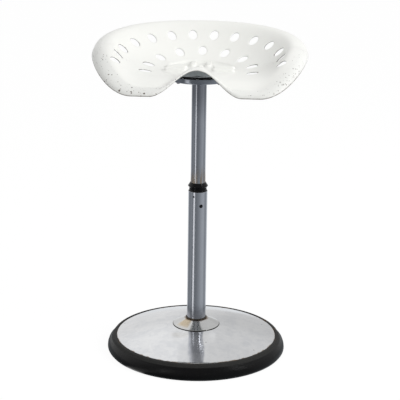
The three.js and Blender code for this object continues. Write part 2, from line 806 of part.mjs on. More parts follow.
// Plan places of one row: evenly spaced on half an ellipse at the back that runs on straight to the front
function horseshoe(halfWidth, back, count, pitch) {
  const quarter = new THREE.EllipseCurve(0, 0, halfWidth, back, Math.PI / 2, 0, true);
  const quarterLength = quarter.getLength();
  return Array.from({ length: count }, (_, i) => {
    const along = (i - (count - 1) / 2) * pitch;
    const side = along < 0 ? -1 : 1;
    const distance = Math.abs(along);
    if (distance > quarterLength) {
      return new THREE.Vector2(side * halfWidth, quarterLength - distance);
    }
    const point = quarter.getPointAt(distance / quarterLength);
    return new THREE.Vector2(side * point.x, point.y);
  });
}

// A punch for one oval: along the sheet's normal, its long side pointing away from the column's axis
function slotPunch(place, blank) {
  const caster = new THREE.Raycaster(
    new THREE.Vector3(place.x, place.y, seatHalfWidth), new THREE.Vector3(0, 0, -1),
  );
  const hit = caster.intersectObject(blank)[0];
  const outline = new THREE.Shape().absellipse(0, 0, slotHalfLength, slotHalfWidth, 0, 2 * Math.PI, false, 0);
  const depth = 12 * sheetThickness;
  const punch = new THREE.ExtrudeGeometry(outline, { depth, bevelEnabled: false, curveSegments: 5 });
  punch.translate(0, 0, -depth / 2);
  const normal = hit.face.normal.clone();
  const outward = new THREE.Vector3(place.x, place.y, 0).normalize();
  const across = normal.clone().cross(outward).normalize();
  const along = across.clone().cross(normal);
  const frame = new THREE.Matrix4().makeBasis(along, across, normal).setPosition(hit.point);
  return punch.applyMatrix4(frame);
}

// Three pairs of narrow ribs run from the middle to the back and the sides, with the bolts between them.
// Each is a bevelled bar with round ends; the same bars one sheet smaller hollow them from below.
function ribBars(shrink, foot) {
  const halfWidth = ribHalfWidth - shrink;
  const outline = new THREE.Shape();
  outline.absarc(padRadius - ribEndInset - ribHalfWidth, 0, halfWidth, -Math.PI / 2, Math.PI / 2);
  outline.absarc(ribStart + ribHalfWidth, 0, halfWidth, Math.PI / 2, (3 * Math.PI) / 2);
  return [0, 90, 180].flatMap((arm) => [-ribOffset, ribOffset].map((offset) => (
    new THREE.ExtrudeGeometry(outline, {
      depth: ribHeight - shrink - ribBevel - foot,
      bevelThickness: ribBevel,
      bevelSize: ribBevel,
      bevelOffset: -ribBevel,
      bevelSegments: 1,
      curveSegments: 2,
    }).translate(0, offset, foot).rotateZ(degrees(arm))
  )));
}

// The ribbed sheet, before the perforations
function pressedSheet(blankGeometry) {
  const aboveSheetMiddle = solidOf(disc(padRadius, -sheetThickness / 2, ribHeight + punchOverrun, wideSegments));
  const ribs = ribBars(0, -sheetThickness)
    .map((bar) => solidOf(bar).intersect(aboveSheetMiddle));
  const hollows = ribBars(sheetThickness, -sheetThickness - punchOverrun).map(solidOf);
  const ribbed = ribs.reduce((sheet, rib) => sheet.add(rib), solidOf(blankGeometry));
  return geometryOf(hollows.reduce((sheet, hollow) => sheet.subtract(hollow), ribbed));
}

function makeSeat() {
  const blankGeometry = makeSeatBlank();
  const blank = new THREE.Mesh(blankGeometry, new THREE.MeshBasicMaterial({ side: THREE.DoubleSide }));
  blank.updateMatrixWorld();
  const rowSide = seatHalfWidth - rowInsetSide;
  const rowBack = seatBackReach - rowInsetBack;
  const outerRow = horseshoe(rowSide, rowBack, outerRowCount, outerRowPitch);
  const innerRow = horseshoe(
    rowSide - rowSpacingSide, rowBack - rowSpacingBack, innerRowCount, innerRowPitch,
  );
  const punches = [...outerRow, ...innerRow].map((place) => slotPunch(place, blank));
  const boltHoles = seatBoltAngles.map((angle) => (
    post(seatBoltRadius + holeGap, -sheetThickness - punchOverrun, punchOverrun, seatBoltCircle, angle)
  ));
  return cut(pressedSheet(blankGeometry), [...punches, ...boltHoles]);
}
addPiece('seat_shell', makeSeat(), whiteEnamel).position.set(0, 0, padTop);

export default stool;
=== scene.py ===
import math

import bmesh
import bpy
import numpy as np
from mathutils import Matrix, Vector


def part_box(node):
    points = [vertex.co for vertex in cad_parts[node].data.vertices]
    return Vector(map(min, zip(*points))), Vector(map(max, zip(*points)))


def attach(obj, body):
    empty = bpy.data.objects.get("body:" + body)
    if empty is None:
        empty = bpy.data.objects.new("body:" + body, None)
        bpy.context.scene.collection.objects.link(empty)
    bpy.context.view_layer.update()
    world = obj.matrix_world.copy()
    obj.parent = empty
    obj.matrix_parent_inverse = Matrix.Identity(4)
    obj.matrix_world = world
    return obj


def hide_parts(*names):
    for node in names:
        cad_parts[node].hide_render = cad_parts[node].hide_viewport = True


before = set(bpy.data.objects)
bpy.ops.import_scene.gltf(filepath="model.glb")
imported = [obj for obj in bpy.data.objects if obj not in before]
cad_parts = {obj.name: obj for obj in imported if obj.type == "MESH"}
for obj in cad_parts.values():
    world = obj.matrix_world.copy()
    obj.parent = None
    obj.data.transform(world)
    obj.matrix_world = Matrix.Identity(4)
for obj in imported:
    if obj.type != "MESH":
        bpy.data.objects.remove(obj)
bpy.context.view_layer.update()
scene = bpy.context.scene
scene.view_settings.view_transform = "Standard"

# Camera: a long lens three metres in front of the column and a little to its right, looking down on the
# seat. It leans by under a degree, as in the photograph.
camera_azimuth = math.radians(3.1)
camera_pitch = math.radians(16.0)
camera_lean = math.radians(0.8)
camera_distance = 3.0
camera_height = 1.209
camera_sidestep = 0.0049
camera_data = bpy.data.cameras.new("camera")
camera_data.sensor_width = 36.0
camera_data.lens = 127.1


def placed_in_scene(name, data):
    made = bpy.data.objects.new(name, data)
    scene.collection.objects.link(made)
    return made


camera = placed_in_scene("camera", camera_data)
away = Vector((math.sin(camera_azimuth), -math.cos(camera_azimuth), 0))
aside = Vector((math.cos(camera_azimuth), math.sin(camera_azimuth), 0))
camera.matrix_world = (
    Matrix.Translation(away * camera_distance + aside * camera_sidestep + Vector((0, 0, camera_height)))
    @ Matrix.Rotation(camera_azimuth, 4, "Z")
    @ Matrix.Rotation(math.pi / 2 - camera_pitch, 4, "X")
    @ Matrix.Rotation(camera_lean, 4, "Z")
)
scene.camera = camera


# Studio: a white floor and a white room, with a soft lamp that mirrors don't show and two narrow strips
# that they do. Bright metal mirrors the floor, so its mirrored look has what stood round the stool: a
# bright strip at the left front, a dim front and right, and white paper behind.
class Value:
    """A socket that ordinary arithmetic works on: each operator adds one Math node to its tree."""

    def __init__(self, tree, socket):
        self.tree = tree
        self.socket = socket

    def maths(self, operation, *terms):
        return self.tree.node("ShaderNodeMath", {"operation": operation}, dict(enumerate(terms)))

    def __add__(self, other):
        return self.maths("ADD", self, other)

    def __sub__(self, other):
        return self.maths("SUBTRACT", self, other)

    def __rsub__(self, other):
        return self.maths("SUBTRACT", other, self)

    def __mul__(self, other):
        return self.maths("MULTIPLY", self, other)

    def __truediv__(self, other):
        return self.maths("DIVIDE", self, other)

    __radd__ = __add__
    __rmul__ = __mul__


class Tree:
    """A node tree with one way to add a node: its type, its settings, its sockets' values or links."""

    def __init__(self, tree):
        self.tree = tree
        self.tree.nodes.clear()

    def node(self, kind, settings=None, inputs=None, output=0):
        node = self.tree.nodes.new(kind)
        for name, setting in (settings or {}).items():
            if name == "stops":
                self.set_stops(node.color_ramp, setting)
            else:
                setattr(node, name, setting)
        for key, value in (inputs or {}).items():
            if isinstance(value, Value):
                self.tree.links.new(value.socket, node.inputs[key])
            else:
                node.inputs[key].default_value = value
        return Value(self, node.outputs[output]) if node.outputs else None

    @staticmethod
    def set_stops(ramp, stops):
        while len(ramp.elements) > 1:
            ramp.elements.remove(ramp.elements[-1])
        for i, (position, *colour) in enumerate(stops):
            stop = ramp.elements[0] if i == 0 else ramp.elements.new(position)
            stop.position = position
            stop.color = (*colour, 1)

    def smooth(self, value, low, high):
        """0 up to low, 1 from high on, and a soft step between them."""
        return self.node(
            "ShaderNodeMapRange", {"interpolation_type": "SMOOTHSTEP"},
            {"Value": value, "From Min": low, "From Max": high},
        )


def axes(tree, vector):
    return [tree.node("ShaderNodeSeparateXYZ", None, {0: vector}, axis) for axis in "XYZ"]


floor_radius = 12.0
shadow_share = 0.08
white_strength = 1.02
paper_colour = (0.64, 0.64, 0.64, 1)
mirrored_strength = 1.3
# Degrees round the column from straight in front, to the right, and how bright the floor looks there.
floor_looks = [
    (-180, 0.70), (-140, 0.70), (-126, 0.24), (-100, 0.21), (-78, 0.27), (-60, 0.20), (-49, 0.17),
    (-46, 1.0), (-34, 1.0), (-31, 0.16), (0, 0.20), (25, 0.27), (48, 0.36), (76, 0.42), (92, 0.34),
    (102, 0.26), (118, 0.30), (134, 0.40), (144, 0.70), (180, 0.70),
]
coolness = 0.075
floor_mesh = bpy.data.meshes.new("floor")
floor_shape = bmesh.new()
bmesh.ops.create_circle(floor_shape, cap_ends=True, radius=floor_radius, segments=64)
floor_shape.to_mesh(floor_mesh)
floor_shape.free()
placed_in_scene("floor", floor_mesh)
floor_finish = bpy.data.materials.new("studio_floor")
floor_finish.use_nodes = True
floor_tree = Tree(floor_finish.node_tree)
east, north, _ = axes(floor_tree, floor_tree.node("ShaderNodeTexCoord", None, None, "Object"))
bearing_angle = east.maths("ARCTAN2", east, 0 - north) / (2 * math.pi) + 0.5
floor_stops = []
for degrees, level in floor_looks:
    cool = coolness * (1 - level)
    floor_stops.append(((degrees + 180) / 360, level * (1 - cool), level, level * (1 + cool)))
mirrored_level = floor_tree.node("ShaderNodeValToRGB", {"stops": floor_stops}, {0: bearing_angle})
paper = floor_tree.node("ShaderNodeBsdfDiffuse", None, {"Color": paper_colour})
mirrored = floor_tree.node(
    "ShaderNodeEmission", None, {"Color": mirrored_level, "Strength": mirrored_strength},
)
white = floor_tree.node("ShaderNodeEmission", None, {"Color": (1, 1, 1, 1), "Strength": white_strength})
bright_paper = floor_tree.node("ShaderNodeBsdfDiffuse", None, {"Color": (1, 1, 1, 1)})
seen = floor_tree.node("ShaderNodeMixShader", None, {0: shadow_share, 1: white, 2: bright_paper})
to_mirror = floor_tree.node("ShaderNodeLightPath", None, None, "Is Glossy Ray")
to_camera = floor_tree.node("ShaderNodeLightPath", None, None, "Is Camera Ray")
unseen = floor_tree.node("ShaderNodeMixShader", None, {0: to_mirror, 1: paper, 2: mirrored})
floor_tree.node(
    "ShaderNodeOutputMaterial", None,
    {"Surface": floor_tree.node("ShaderNodeMixShader", None, {0: to_camera, 1: unseen, 2: seen})},
)
floor_mesh.materials.append(floor_finish)


def between(start, end, share):
    return start + (end - start) * share


room_level = {"low": 0.44, "high": 0.74}
room_tint = (1.0, 1.0, 1.0, 1)
room_looks = {"front": 0.40, "left": 0.93, "right": 0.71}
overhead_gain = 0.20
world = bpy.data.worlds.new("studio_room")
scene.world = world
world.use_nodes = True
room = Tree(world.node_tree)
across, along, upward = axes(room, room.node("ShaderNodeTexCoord", None, None, "Generated"))
to_right = room.smooth(across, -0.16, 0.05)
back_level = between(room_looks["left"], room_looks["right"], to_right)
back_level = back_level * (1 + overhead_gain * room.smooth(upward, 0.25, 0.55))
behind = room.smooth(along, -0.45, 0.12)
mirrored_room = between(room_looks["front"], back_level, behind)
is_camera = room.node("ShaderNodeLightPath", None, None, "Is Camera Ray")
is_glossy = room.node("ShaderNodeLightPath", None, None, "Is Glossy Ray")
soft_light = between(room_level["low"], room_level["high"], room.smooth(upward, 0.0, 0.9))
room_strength = is_camera + (1 - is_camera) * (is_glossy * mirrored_room + (1 - is_glossy) * soft_light)
room.node(
    "ShaderNodeOutputWorld", None,
    {"Surface": room.node("ShaderNodeBackground", None, {"Color": room_tint, "Strength": room_strength})},
)

lamp_target = Vector((0, 0, 0.45))


def add_light(name, place, width, height, watts, in_mirrors=True, on_paint=True):
    data = bpy.data.lights.new(name, "AREA")
    data.shape = "RECTANGLE"
    data.size = width
    data.size_y = height
    data.energy = watts
    light = placed_in_scene(name, data)
    light.location = place
    light.rotation_euler = (lamp_target - Vector(place)).to_track_quat("-Z", "Y").to_euler()
    light.visible_glossy = in_mirrors
    light.visible_diffuse = on_paint


add_light("key_light", (1.9, -0.9, 1.7), width=1.1, height=1.1, watts=34, in_mirrors=False)
add_light("strip_light", (-1.3, -1.75, 1.05), width=0.22, height=1.5, watts=3)
add_light("edge_strip", (1.9, -0.9, 1.5), width=0.16, height=1.2, watts=4.5, on_paint=False)

# Rim: a moulded black rubber ring that carries the stool on the floor and grips the cover's edge.
# Its top is paler grey, partly dust and scuffs and partly painted sheen, and its side has kept some gloss.
mm = 0.001


def softened(outline, steps=4):
    """Rounds the corners of a closed outline of (radius, height, rounding) points between guard points."""
    soft = []
    for i, (radius, height, rounding) in enumerate(outline):
        here = Vector((radius, height))
        if rounding == 0:
            soft.append(here)
            continue
        ends = []
        for other in (outline[i - 1], outline[(i + 1) % len(outline)]):
            reach = Vector(other[:2]) - here
            ends.append([
                here + reach.normalized() * min(rounding * factor, reach.length * limit)
                for factor, limit in ((1.0, 0.42), (1.6, 0.48))
            ])
        (start, guard_before), (end, guard_after) = ends
        soft.append(guard_before)
        for k in range(steps + 1):
            t = k / steps
            soft.append(start * (1 - t) ** 2 + here * (2 * t * (1 - t)) + end * t ** 2)
        soft.append(guard_after)
    return [(point.x, point.y) for point in soft]


def turned(name, outline, segments=144):
    """The solid that a closed outline of (radius, height) points sweeps as it turns round the axis."""
    shape = bmesh.new()
    rings = []
    for radius, height in outline:
        count = 1 if radius < 1e-6 else segments
        rings.append([
            shape.verts.new((
                radius * mm * math.cos(2 * math.pi * i / segments),
                radius * mm * math.sin(2 * math.pi * i / segments),
                height * mm,
            ))
            for i in range(count)
        ])
    for lower, upper in zip(rings, rings[1:] + rings[:1]):
        if len(lower) == len(upper) == 1:
            continue
        for i in range(segments):
            corners = [lower[i % len(lower)], lower[(i + 1) % len(lower)]]
            corners += [upper[(i + 1) % len(upper)], upper[i % len(upper)]]
            shape.faces.new(list(dict.fromkeys(corners)))
    bmesh.ops.recalc_face_normals(shape, faces=shape.faces)
    mesh = bpy.data.meshes.new(name)
    shape.to_mesh(mesh)
    shape.free()
    return placed_in_scene(name, mesh)


def fit(piece, material, body, nodes, crease=38):
    """Shades a finished mesh, gives it its material and puts it on its body in place of its CAD nodes."""
    piece.data.shade_smooth()
    piece.data.set_sharp_from_angle(angle=math.radians(crease))
    piece.data.materials.clear()
    piece.data.materials.append(material)
    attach(piece, body)
    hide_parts(*nodes)


class Finish(Tree):
    """A material under construction: one Principled shader, and the patterns that drive it."""

    def __init__(self, name, **constants):
        self.material = bpy.data.materials.new(name)
        self.material.use_nodes = True
        super().__init__(self.material.node_tree)
        surface = self.node("ShaderNodeBsdfPrincipled", None, {
            key.replace("_", " "): value for key, value in constants.items()
        })
        self.shader = surface.socket.node
        self.node("ShaderNodeOutputMaterial", None, {"Surface": surface})
        self.place = self.node("ShaderNodeTexCoord", None, None, "Object")
        self.x, self.y, self.z = axes(self, self.place)
        self.radius = self.x.maths("SQRT", self.x * self.x + self.y * self.y)

    def noise(self, size, detail=3.0, stretch=(1, 1, 1), warp=0.0):
        """Soft noise from 0 to 1 with blotches of about that size in millimetres, stretched along axes."""
        shrunk = [1 / along for along in stretch]
        place = self.node("ShaderNodeMapping", None, {"Vector": self.place, "Scale": shrunk})
        return self.node("ShaderNodeTexNoise", None, {
            "Vector": place, "Scale": 1 / (size * mm), "Detail": detail, "Roughness": 0.55,
            "Distortion": warp,
        })

    def specks(self, size, share, seed=0.0):
        """1 inside small irregular spots, one at most in a cell of that size; share sets the largest."""
        largest = share * size * mm
        wobble = self.node("ShaderNodeTexNoise", None, {
            "Vector": self.place, "Scale": 1.3 / largest, "Detail": 2.0,
        }, "Color")
        place = self.node("ShaderNodeVectorMath", {"operation": "MULTIPLY_ADD"}, {
            0: wobble, 1: [0.9 * largest] * 3, 2: self.place,
        })
        moved = self.node("ShaderNodeMapping", None, {"Vector": place, "Location": [seed, seed, seed]})
        cells = {"Vector": moved, "Scale": 1 / (size * mm), "Randomness": 1.0}
        distance = self.node("ShaderNodeTexVoronoi", None, cells)
        chance = axes(self, self.node("ShaderNodeTexVoronoi", None, cells, "Color"))[0]
        reach = share * chance * chance * chance
        soft_edge = 0.12 * share
        return self.smooth(reach - distance, 0.0, soft_edge)

    def mix(self, factor, first, second):
        """A colour between two colours, each a socket or three numbers."""
        first, second = ((*c, 1) if isinstance(c, tuple) else c for c in (first, second))
        return self.node("ShaderNodeMix", {"data_type": "RGBA"}, {0: factor, 6: first, 7: second}, 2)

    def drive(self, **values):
        for key, value in values.items():
            self.tree.links.new(value.socket, self.shader.inputs[key.replace("_", " ")])

    def bump(self, height, depth, strength=1.0):
        """Raises the surface by height times depth, in millimetres."""
        self.drive(Normal=self.node(
            "ShaderNodeBump", None, {"Height": height, "Distance": depth * mm, "Strength": strength},
        ))


rubber = Finish("rim_rubber", Specular_IOR_Level=0.17)
dust = rubber.noise(9, 5, warp=0.4)
scuffs = rubber.noise(3.5, 4, stretch=(1, 1, 0.35))
top_band = rubber.smooth(rubber.z, 27.2 * mm, 29.6 * mm)
by_cover = 1 - rubber.smooth(rubber.radius, 180.5 * mm, 185 * mm)
grime = rubber.smooth(rubber.noise(16, 4), 0.5, 0.72) * by_cover
side_black = rubber.mix(dust, (0.001, 0.001, 0.0012), (0.0032, 0.0032, 0.0036))
# Painted sheen: the top band's paler grey stands partly for light on the upward faces, partly for dust.
dust_and_sheen_grey = rubber.mix(dust, (0.016, 0.017, 0.017), (0.040, 0.039, 0.037))
dusty_sheened_top = rubber.mix(top_band * (0.55 + 0.45 * scuffs), side_black, dust_and_sheen_grey)
pale_scuffs = rubber.smooth(scuffs, 0.66, 0.78) * 0.35
scuffed_sheened_rubber = rubber.mix(pale_scuffs, dusty_sheened_top, (0.08, 0.077, 0.07))
rubber.drive(
    Base_Color=rubber.mix(grime * 0.7, scuffed_sheened_rubber, (0.11, 0.06, 0.03)),
    Roughness=0.20 + 0.22 * dust + 0.34 * top_band,
)
rubber.bump(rubber.noise(1.6, 3) * 0.6 + scuffs, 0.12, 0.6)

rim_bore, rim_wall, rim_radius = 150, 165.3, 200
cover_edge, cover_rest = 179.4, 33.4
rim_outline = softened([
    (rim_bore, 0, 1.0), (195, 0, 1.5), (rim_radius, 6, 3.0), (199.2, 14, 0), (196.7, 21, 0),
    (190, 28.6, 4.5), (186.6, 34.2, 2.2), (180.9, 35.4, 1.0), (cover_edge, 34.6, 0.4),
    (cover_edge, cover_rest, 0.3), (rim_wall, cover_rest, 0.5), (rim_wall, 10, 0.5), (rim_bore, 10, 0.8),
])
fit(turned("rubber_rim", rim_outline, 192), rubber.material, "base", ["base_rim"])

# Ballast and its bolt: a rough cast-iron disc under the cover, drawn up against the column's threaded plug
# by one zinc-plated bolt and washer. They show only from below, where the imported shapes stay.
cast_iron = Finish("ballast_cast_iron", Metallic=0.35)
scale_marks = cast_iron.noise(14, 5, warp=0.6)
cast_iron.drive(
    Base_Color=cast_iron.mix(
        cast_iron.smooth(scale_marks, 0.45, 0.7), (0.055, 0.055, 0.057), (0.12, 0.065, 0.035),
    ),
    Roughness=0.6 + 0.3 * scale_marks,
)
cast_iron.bump(cast_iron.noise(2.2, 4), 0.5, 0.8)


def clouded(name, size, first, second, roughness, detail=3.0, warp=0.0, **constants):
    """A finish whose colour and roughness (least, added) drift together over blotches of one size."""
    finish = Finish(name, **constants)
    finish.cloud = finish.noise(size, detail, warp=warp)
    finish.drive(
        Base_Color=finish.mix(finish.cloud, first, second),
        Roughness=roughness[0] + roughness[1] * finish.cloud,
    )
    return finish


def dress(material, *nodes):
    """Gives carried-over CAD nodes a material."""
    for name in nodes:
        for material_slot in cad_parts[name].material_slots:
            material_slot.material = material


zinc = clouded("zinc_plated_steel", 5, (0.34, 0.35, 0.36), (0.48, 0.48, 0.46), (0.28, 0.25), Metallic=0.9)
dress(cast_iron.material, "base_ballast")
dress(zinc.material, "base_bolt", "base_washer", "column_socket")

# Cover: one domed sheet of chromed steel, held down at its middle by the column's cone, with its edge in
# the rim. It is hazy with fine scratches, pitted, browned along the rubber and stained by the cone, and a
# dark ring round the cone's foot is painted shade. A faint wave in front bends the column's mirror image.
def span(node):
    """A CAD node's foot, top and greatest radius, in millimetres."""
    low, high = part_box(node)
    return low.z / mm, high.z / mm, high.x / mm


dome_radius = 634.0
cover_foot, _, cover_radius = span("base_cover")
cover_sheet = 1.2
column_hole = 21.5
dome_drop = math.sqrt(dome_radius ** 2 - cover_radius ** 2)


def dome(radius):
    return cover_foot + cover_sheet + math.sqrt(dome_radius ** 2 - radius ** 2) - dome_drop


cover_chrome = Finish("cover_chrome", Metallic=1.0)
cloud = cover_chrome.noise(60, 4, warp=0.5)
film = cover_chrome.noise(17, 5, warp=0.8)
fine = cover_chrome.noise(1.1, 2, stretch=(1, 2.6, 1))
dents = cover_chrome.noise(34, 1)
pits = cover_chrome.specks(15, 0.12)
x, forward, reach = cover_chrome.x, 0 - cover_chrome.y, cover_chrome.radius
stain_aside, stain_ahead = x + 30 * mm, forward - 62 * mm
stain_reach = x.maths("SQRT", stain_aside * stain_aside + stain_ahead * stain_ahead)
stain = (1 - cover_chrome.smooth(stain_reach, 6 * mm, 28 * mm)) * cover_chrome.smooth(cloud, 0.33, 0.58)
edge_brown = cover_chrome.smooth(reach, 176.8 * mm, 178.8 * mm) * cover_chrome.smooth(film, 0.45, 0.58)
haze = cover_chrome.smooth(0.5 * cloud + 0.5 * film, 0.36, 0.62)
plated = cover_chrome.mix(haze, (0.59, 0.60, 0.618), (0.668, 0.673, 0.68))
aged = cover_chrome.mix(stain * 0.5, plated, (0.46, 0.42, 0.33))
aged = cover_chrome.mix(edge_brown * 0.8, aged, (0.21, 0.13, 0.07))
cone_edge = 51.7
# Painted shade: a dark ring where the cone meets the cover, used on both parts.
painted_joint_shade = (0.045, 0.035, 0.025)
by_cone = 1 - cover_chrome.smooth(reach, (cone_edge + 0.6) * mm, (cone_edge + 1.8) * mm)
aged = cover_chrome.mix(by_cone, aged, painted_joint_shade)
cover_chrome.drive(
    Base_Color=cover_chrome.mix(pits * 0.85, aged, (0.09, 0.08, 0.075)),
    Roughness=0.085 + 0.10 * cloud * film + 0.25 * stain + 0.3 * edge_brown + 0.3 * pits,
)
wave_curve, wave_hollow, wave_rise = 112000, 1.4, 2.3
in_front = cover_chrome.smooth(forward, 62 * mm, 132 * mm)
near_middle = 1 - cover_chrome.smooth(x.maths("ABSOLUTE", x), 24 * mm, 50 * mm)
past_cone = cover_chrome.smooth(forward, 40 * mm, 58 * mm)
wave = x * x * wave_curve * (wave_rise * in_front - wave_hollow) * near_middle * past_cone
cover_chrome.bump(wave + dents * 26 + fine * 0.5 + film, 0.02, 0.35)

cover_radii = np.linspace(cover_radius - 1.2, column_hole + 0.4, 44)
cover_outline = [(r, dome(r)) for r in cover_radii]
cover_outline += [(column_hole, dome(column_hole) - 0.4), (column_hole, dome(column_hole) - cover_sheet)]
cover_outline += [(r, dome(r) - cover_sheet) for r in cover_radii[::-1]]
cover_outline += [
    (cover_radius, cover_foot), (cover_radius, cover_foot + 0.8), (cover_radius - 0.35, cover_foot + 1.12),
]
fit(turned("chromed_cover", cover_outline, 192), cover_chrome.material, "base", ["base_cover"])

# Cone and gasket: a spun chrome trim that hides the hole in the cover, with a dark ring on top that seals
# the tube. Water has stood in the joint, so the cone's left front is stained yellow and the ring is rusty.
cone_foot, cone_top, cone_radius = span("column_collar")
cone_chrome = Finish("cone_chrome", Metallic=1.0)
cone_film = cone_chrome.noise(7, 4, warp=0.6)
to_left_front = (0 - cone_chrome.x * 0.66 - cone_chrome.y * 0.75) / cone_chrome.radius
facing = cone_chrome.smooth(to_left_front, 0.90, 0.975)
tan_patch = facing * cone_chrome.smooth(cone_chrome.z + cone_film * (5 * mm), 62.5 * mm, 69 * mm)
top_rust = cone_chrome.smooth(cone_chrome.z + cone_film * (3 * mm), 73.2 * mm, 75.6 * mm)
cone_base = cone_chrome.mix(cone_film, (0.49, 0.495, 0.50), (0.57, 0.57, 0.56))
cone_base = cone_chrome.mix(tan_patch * 0.85, cone_base, (0.52, 0.43, 0.30))
# Painted shade: the cone's foot darkens where it meets the cover.
foot_line = 1 - cone_chrome.smooth(cone_chrome.z, (cone_foot + 0.5) * mm, (cone_foot + 1.5) * mm)
cone_base = cone_chrome.mix(foot_line, cone_base, painted_joint_shade)
cone_chrome.drive(
    Base_Color=cone_chrome.mix(top_rust * 0.8, cone_base, (0.20, 0.12, 0.06)),
    Roughness=0.09 + 0.09 * cone_film + 0.25 * tan_patch + 0.35 * top_rust + 0.4 * foot_line,
)
cone_sheet, cone_hollow, cone_neck = 1.4, 48.9, 25.3
cone_outline = softened([
    (cone_hollow, cone_foot, 0.3), (cone_radius, cone_foot, 0.3), (cone_radius, cone_foot + cone_sheet, 0.6),
    (cone_neck, cone_top, 0.8), (column_hole, cone_top, 0.3), (column_hole, cone_top - cone_sheet, 0.3),
    (cone_neck - cone_sheet, cone_top - cone_sheet, 0.4),
])
fit(turned("column_cone", cone_outline), cone_chrome.material, "base", ["column_collar"])

gasket_ring = Finish("gasket_rubber")
gasket_rust = gasket_ring.smooth(gasket_ring.noise(6, 4, warp=0.5), 0.42, 0.66)
gasket_ring.drive(
    Base_Color=gasket_ring.mix(gasket_rust, (0.018, 0.017, 0.014), (0.15, 0.09, 0.04)),
    Roughness=0.45 + 0.35 * gasket_rust,
)
gasket_ring.bump(gasket_ring.noise(1.5, 3), 0.25)
gasket_foot, gasket_top, gasket_radius = span("collar_gasket")


def band(bore, radius, foot, top, *roundings):
    """The outline of a plain ring or tube; the roundings run from the bore's foot round to its top."""
    corners = (bore, foot), (radius, foot), (radius, top), (bore, top)
    return softened([(*corner, rounding) for corner, rounding in zip(corners, roundings)])


gasket_outline = band(column_hole, gasket_radius, gasket_foot, gasket_top, 0.5, 0.9, 0.9, 0.5)
gasket = turned("column_gasket", gasket_outline)
fit(gasket, gasket_ring.material, "base", ["collar_gasket"])


# Outer tube: drawn steel tube, chromed, with a small cross hole for the sleeve's pin and a larger one for
# its lug. The plating has fine upright wiping marks, small pits and a dull bluish haze.
def recipe(name, sizes):
    """A Geometry Nodes tree with a geometry in and out and named inputs; gives the tree and the inputs."""
    group = bpy.data.node_groups.new(name, "GeometryNodeTree")
    tree = Tree(group)
    group.interface.new_socket("Blank", in_out="INPUT", socket_type="NodeSocketGeometry")
    for label, kind in sizes.items():
        group.interface.new_socket(label, in_out="INPUT", socket_type="NodeSocket" + kind)
    group.interface.new_socket("Piece", in_out="OUTPUT", socket_type="NodeSocketGeometry")
    entry = tree.node("NodeGroupInput").socket.node
    return tree, {socket.name: Value(tree, socket) for socket in entry.outputs if socket.name}


def complete(tree, geometry, finish):
    """Ends a recipe: copies made real, and the material set."""
    whole = tree.node("GeometryNodeRealizeInstances", None, {0: geometry})
    coated = tree.node("GeometryNodeSetMaterial", None, {"Geometry": whole, "Material": finish})
    tree.node("NodeGroupOutput", None, {0: coated})


def worked(piece, tree, **values):
    """Runs a recipe on a piece and keeps the result as its plain mesh."""
    modifier = piece.modifiers.new("recipe", "NODES")
    modifier.node_group = tree.tree
    for item in tree.tree.interface.items_tree:
        if item.in_out == "INPUT" and item.name.lower() in values:
            modifier[item.identifier] = values[item.name.lower()]
    evaluated = piece.evaluated_get(bpy.context.evaluated_depsgraph_get())
    mesh = bpy.data.meshes.new_from_object(evaluated)
    piece.modifiers.clear()
    piece.data = mesh


def points_object(name, places, **vectors):
    """Loose points in metres that carry named vectors, for a recipe to place cutters or copies on."""
    mesh = bpy.data.meshes.new(name)
    mesh.from_pydata([tuple(place) for place in places], [], [])
    for label, values in vectors.items():
        attribute = mesh.attributes.new(label, "FLOAT_VECTOR", "POINT")
        attribute.data.foreach_set("vector", np.asarray(values, np.float32).ravel())
    return bpy.data.objects.new(name, mesh)


punched, given = recipe("punched_sheet", {
    "Places": "Object", "Sides": "Int", "Rings": "Int", "Flare": "Float", "Finish": "Material",
})
place_points = punched.node(
    "GeometryNodeObjectInfo", {"transform_space": "ORIGINAL"}, {"Object": given["Places"]}, "Geometry",
)
through, lengthways, half_size = (
    punched.node("GeometryNodeInputNamedAttribute", {"data_type": "FLOAT_VECTOR"}, {"Name": label})
    for label in ("through", "lengthways", "half_size")
)
plain_cutter = punched.node("GeometryNodeMeshCylinder", None, {
    "Vertices": given["Sides"], "Side Segments": given["Rings"], "Radius": 1.0, "Depth": 2.0,
})
cutter_x, cutter_y, cutter_z = axes(punched, punched.node("GeometryNodeInputPosition"))
past_middle = cutter_z.maths("MAXIMUM", cutter_z, 0)
wider = 1 + given["Flare"] * past_middle.maths("POWER", past_middle, 1.6)
cutter = punched.node("GeometryNodeSetPosition", None, {
    "Geometry": plain_cutter,
    "Position": punched.node("ShaderNodeCombineXYZ", None, {
        "X": cutter_x * wider, "Y": cutter_y * wider, "Z": cutter_z,
    }),
})
turn = punched.node(
    "FunctionNodeAxesToRotation", {"primary_axis": "Z", "secondary_axis": "X"},
    {0: through, 1: lengthways},
)
cutters = punched.node("GeometryNodeInstanceOnPoints", None, {
    "Points": place_points, "Instance": cutter, "Rotation": turn, "Scale": half_size,
})
all_cutters = punched.node("GeometryNodeRealizeInstances", None, {0: cutters})
cut = punched.node(
    "GeometryNodeMeshBoolean", {"operation": "DIFFERENCE", "solver": "MANIFOLD"},
    {"Mesh 1": given["Blank"], "Mesh 2": all_cutters},
)
complete(punched, cut, given["Finish"])


def tube_finish(name, dark, light):
    finish = Finish(name, Metallic=1.0)
    streaks = finish.noise(2.6, 4, stretch=(1, 1, 26))
    haze = finish.noise(26, 4, stretch=(1, 1, 2.2), warp=0.4)
    pocks = finish.specks(13, 0.075)
    finish.metal = finish.mix(0.5 * streaks + 0.5 * haze, dark, light)
    finish.dull = 0.10 + 0.09 * haze + 0.05 * streaks + 0.4 * pocks
    finish.pocks = pocks
    finish.bump(streaks + (1 - pocks), 0.004, 0.4)
    return finish


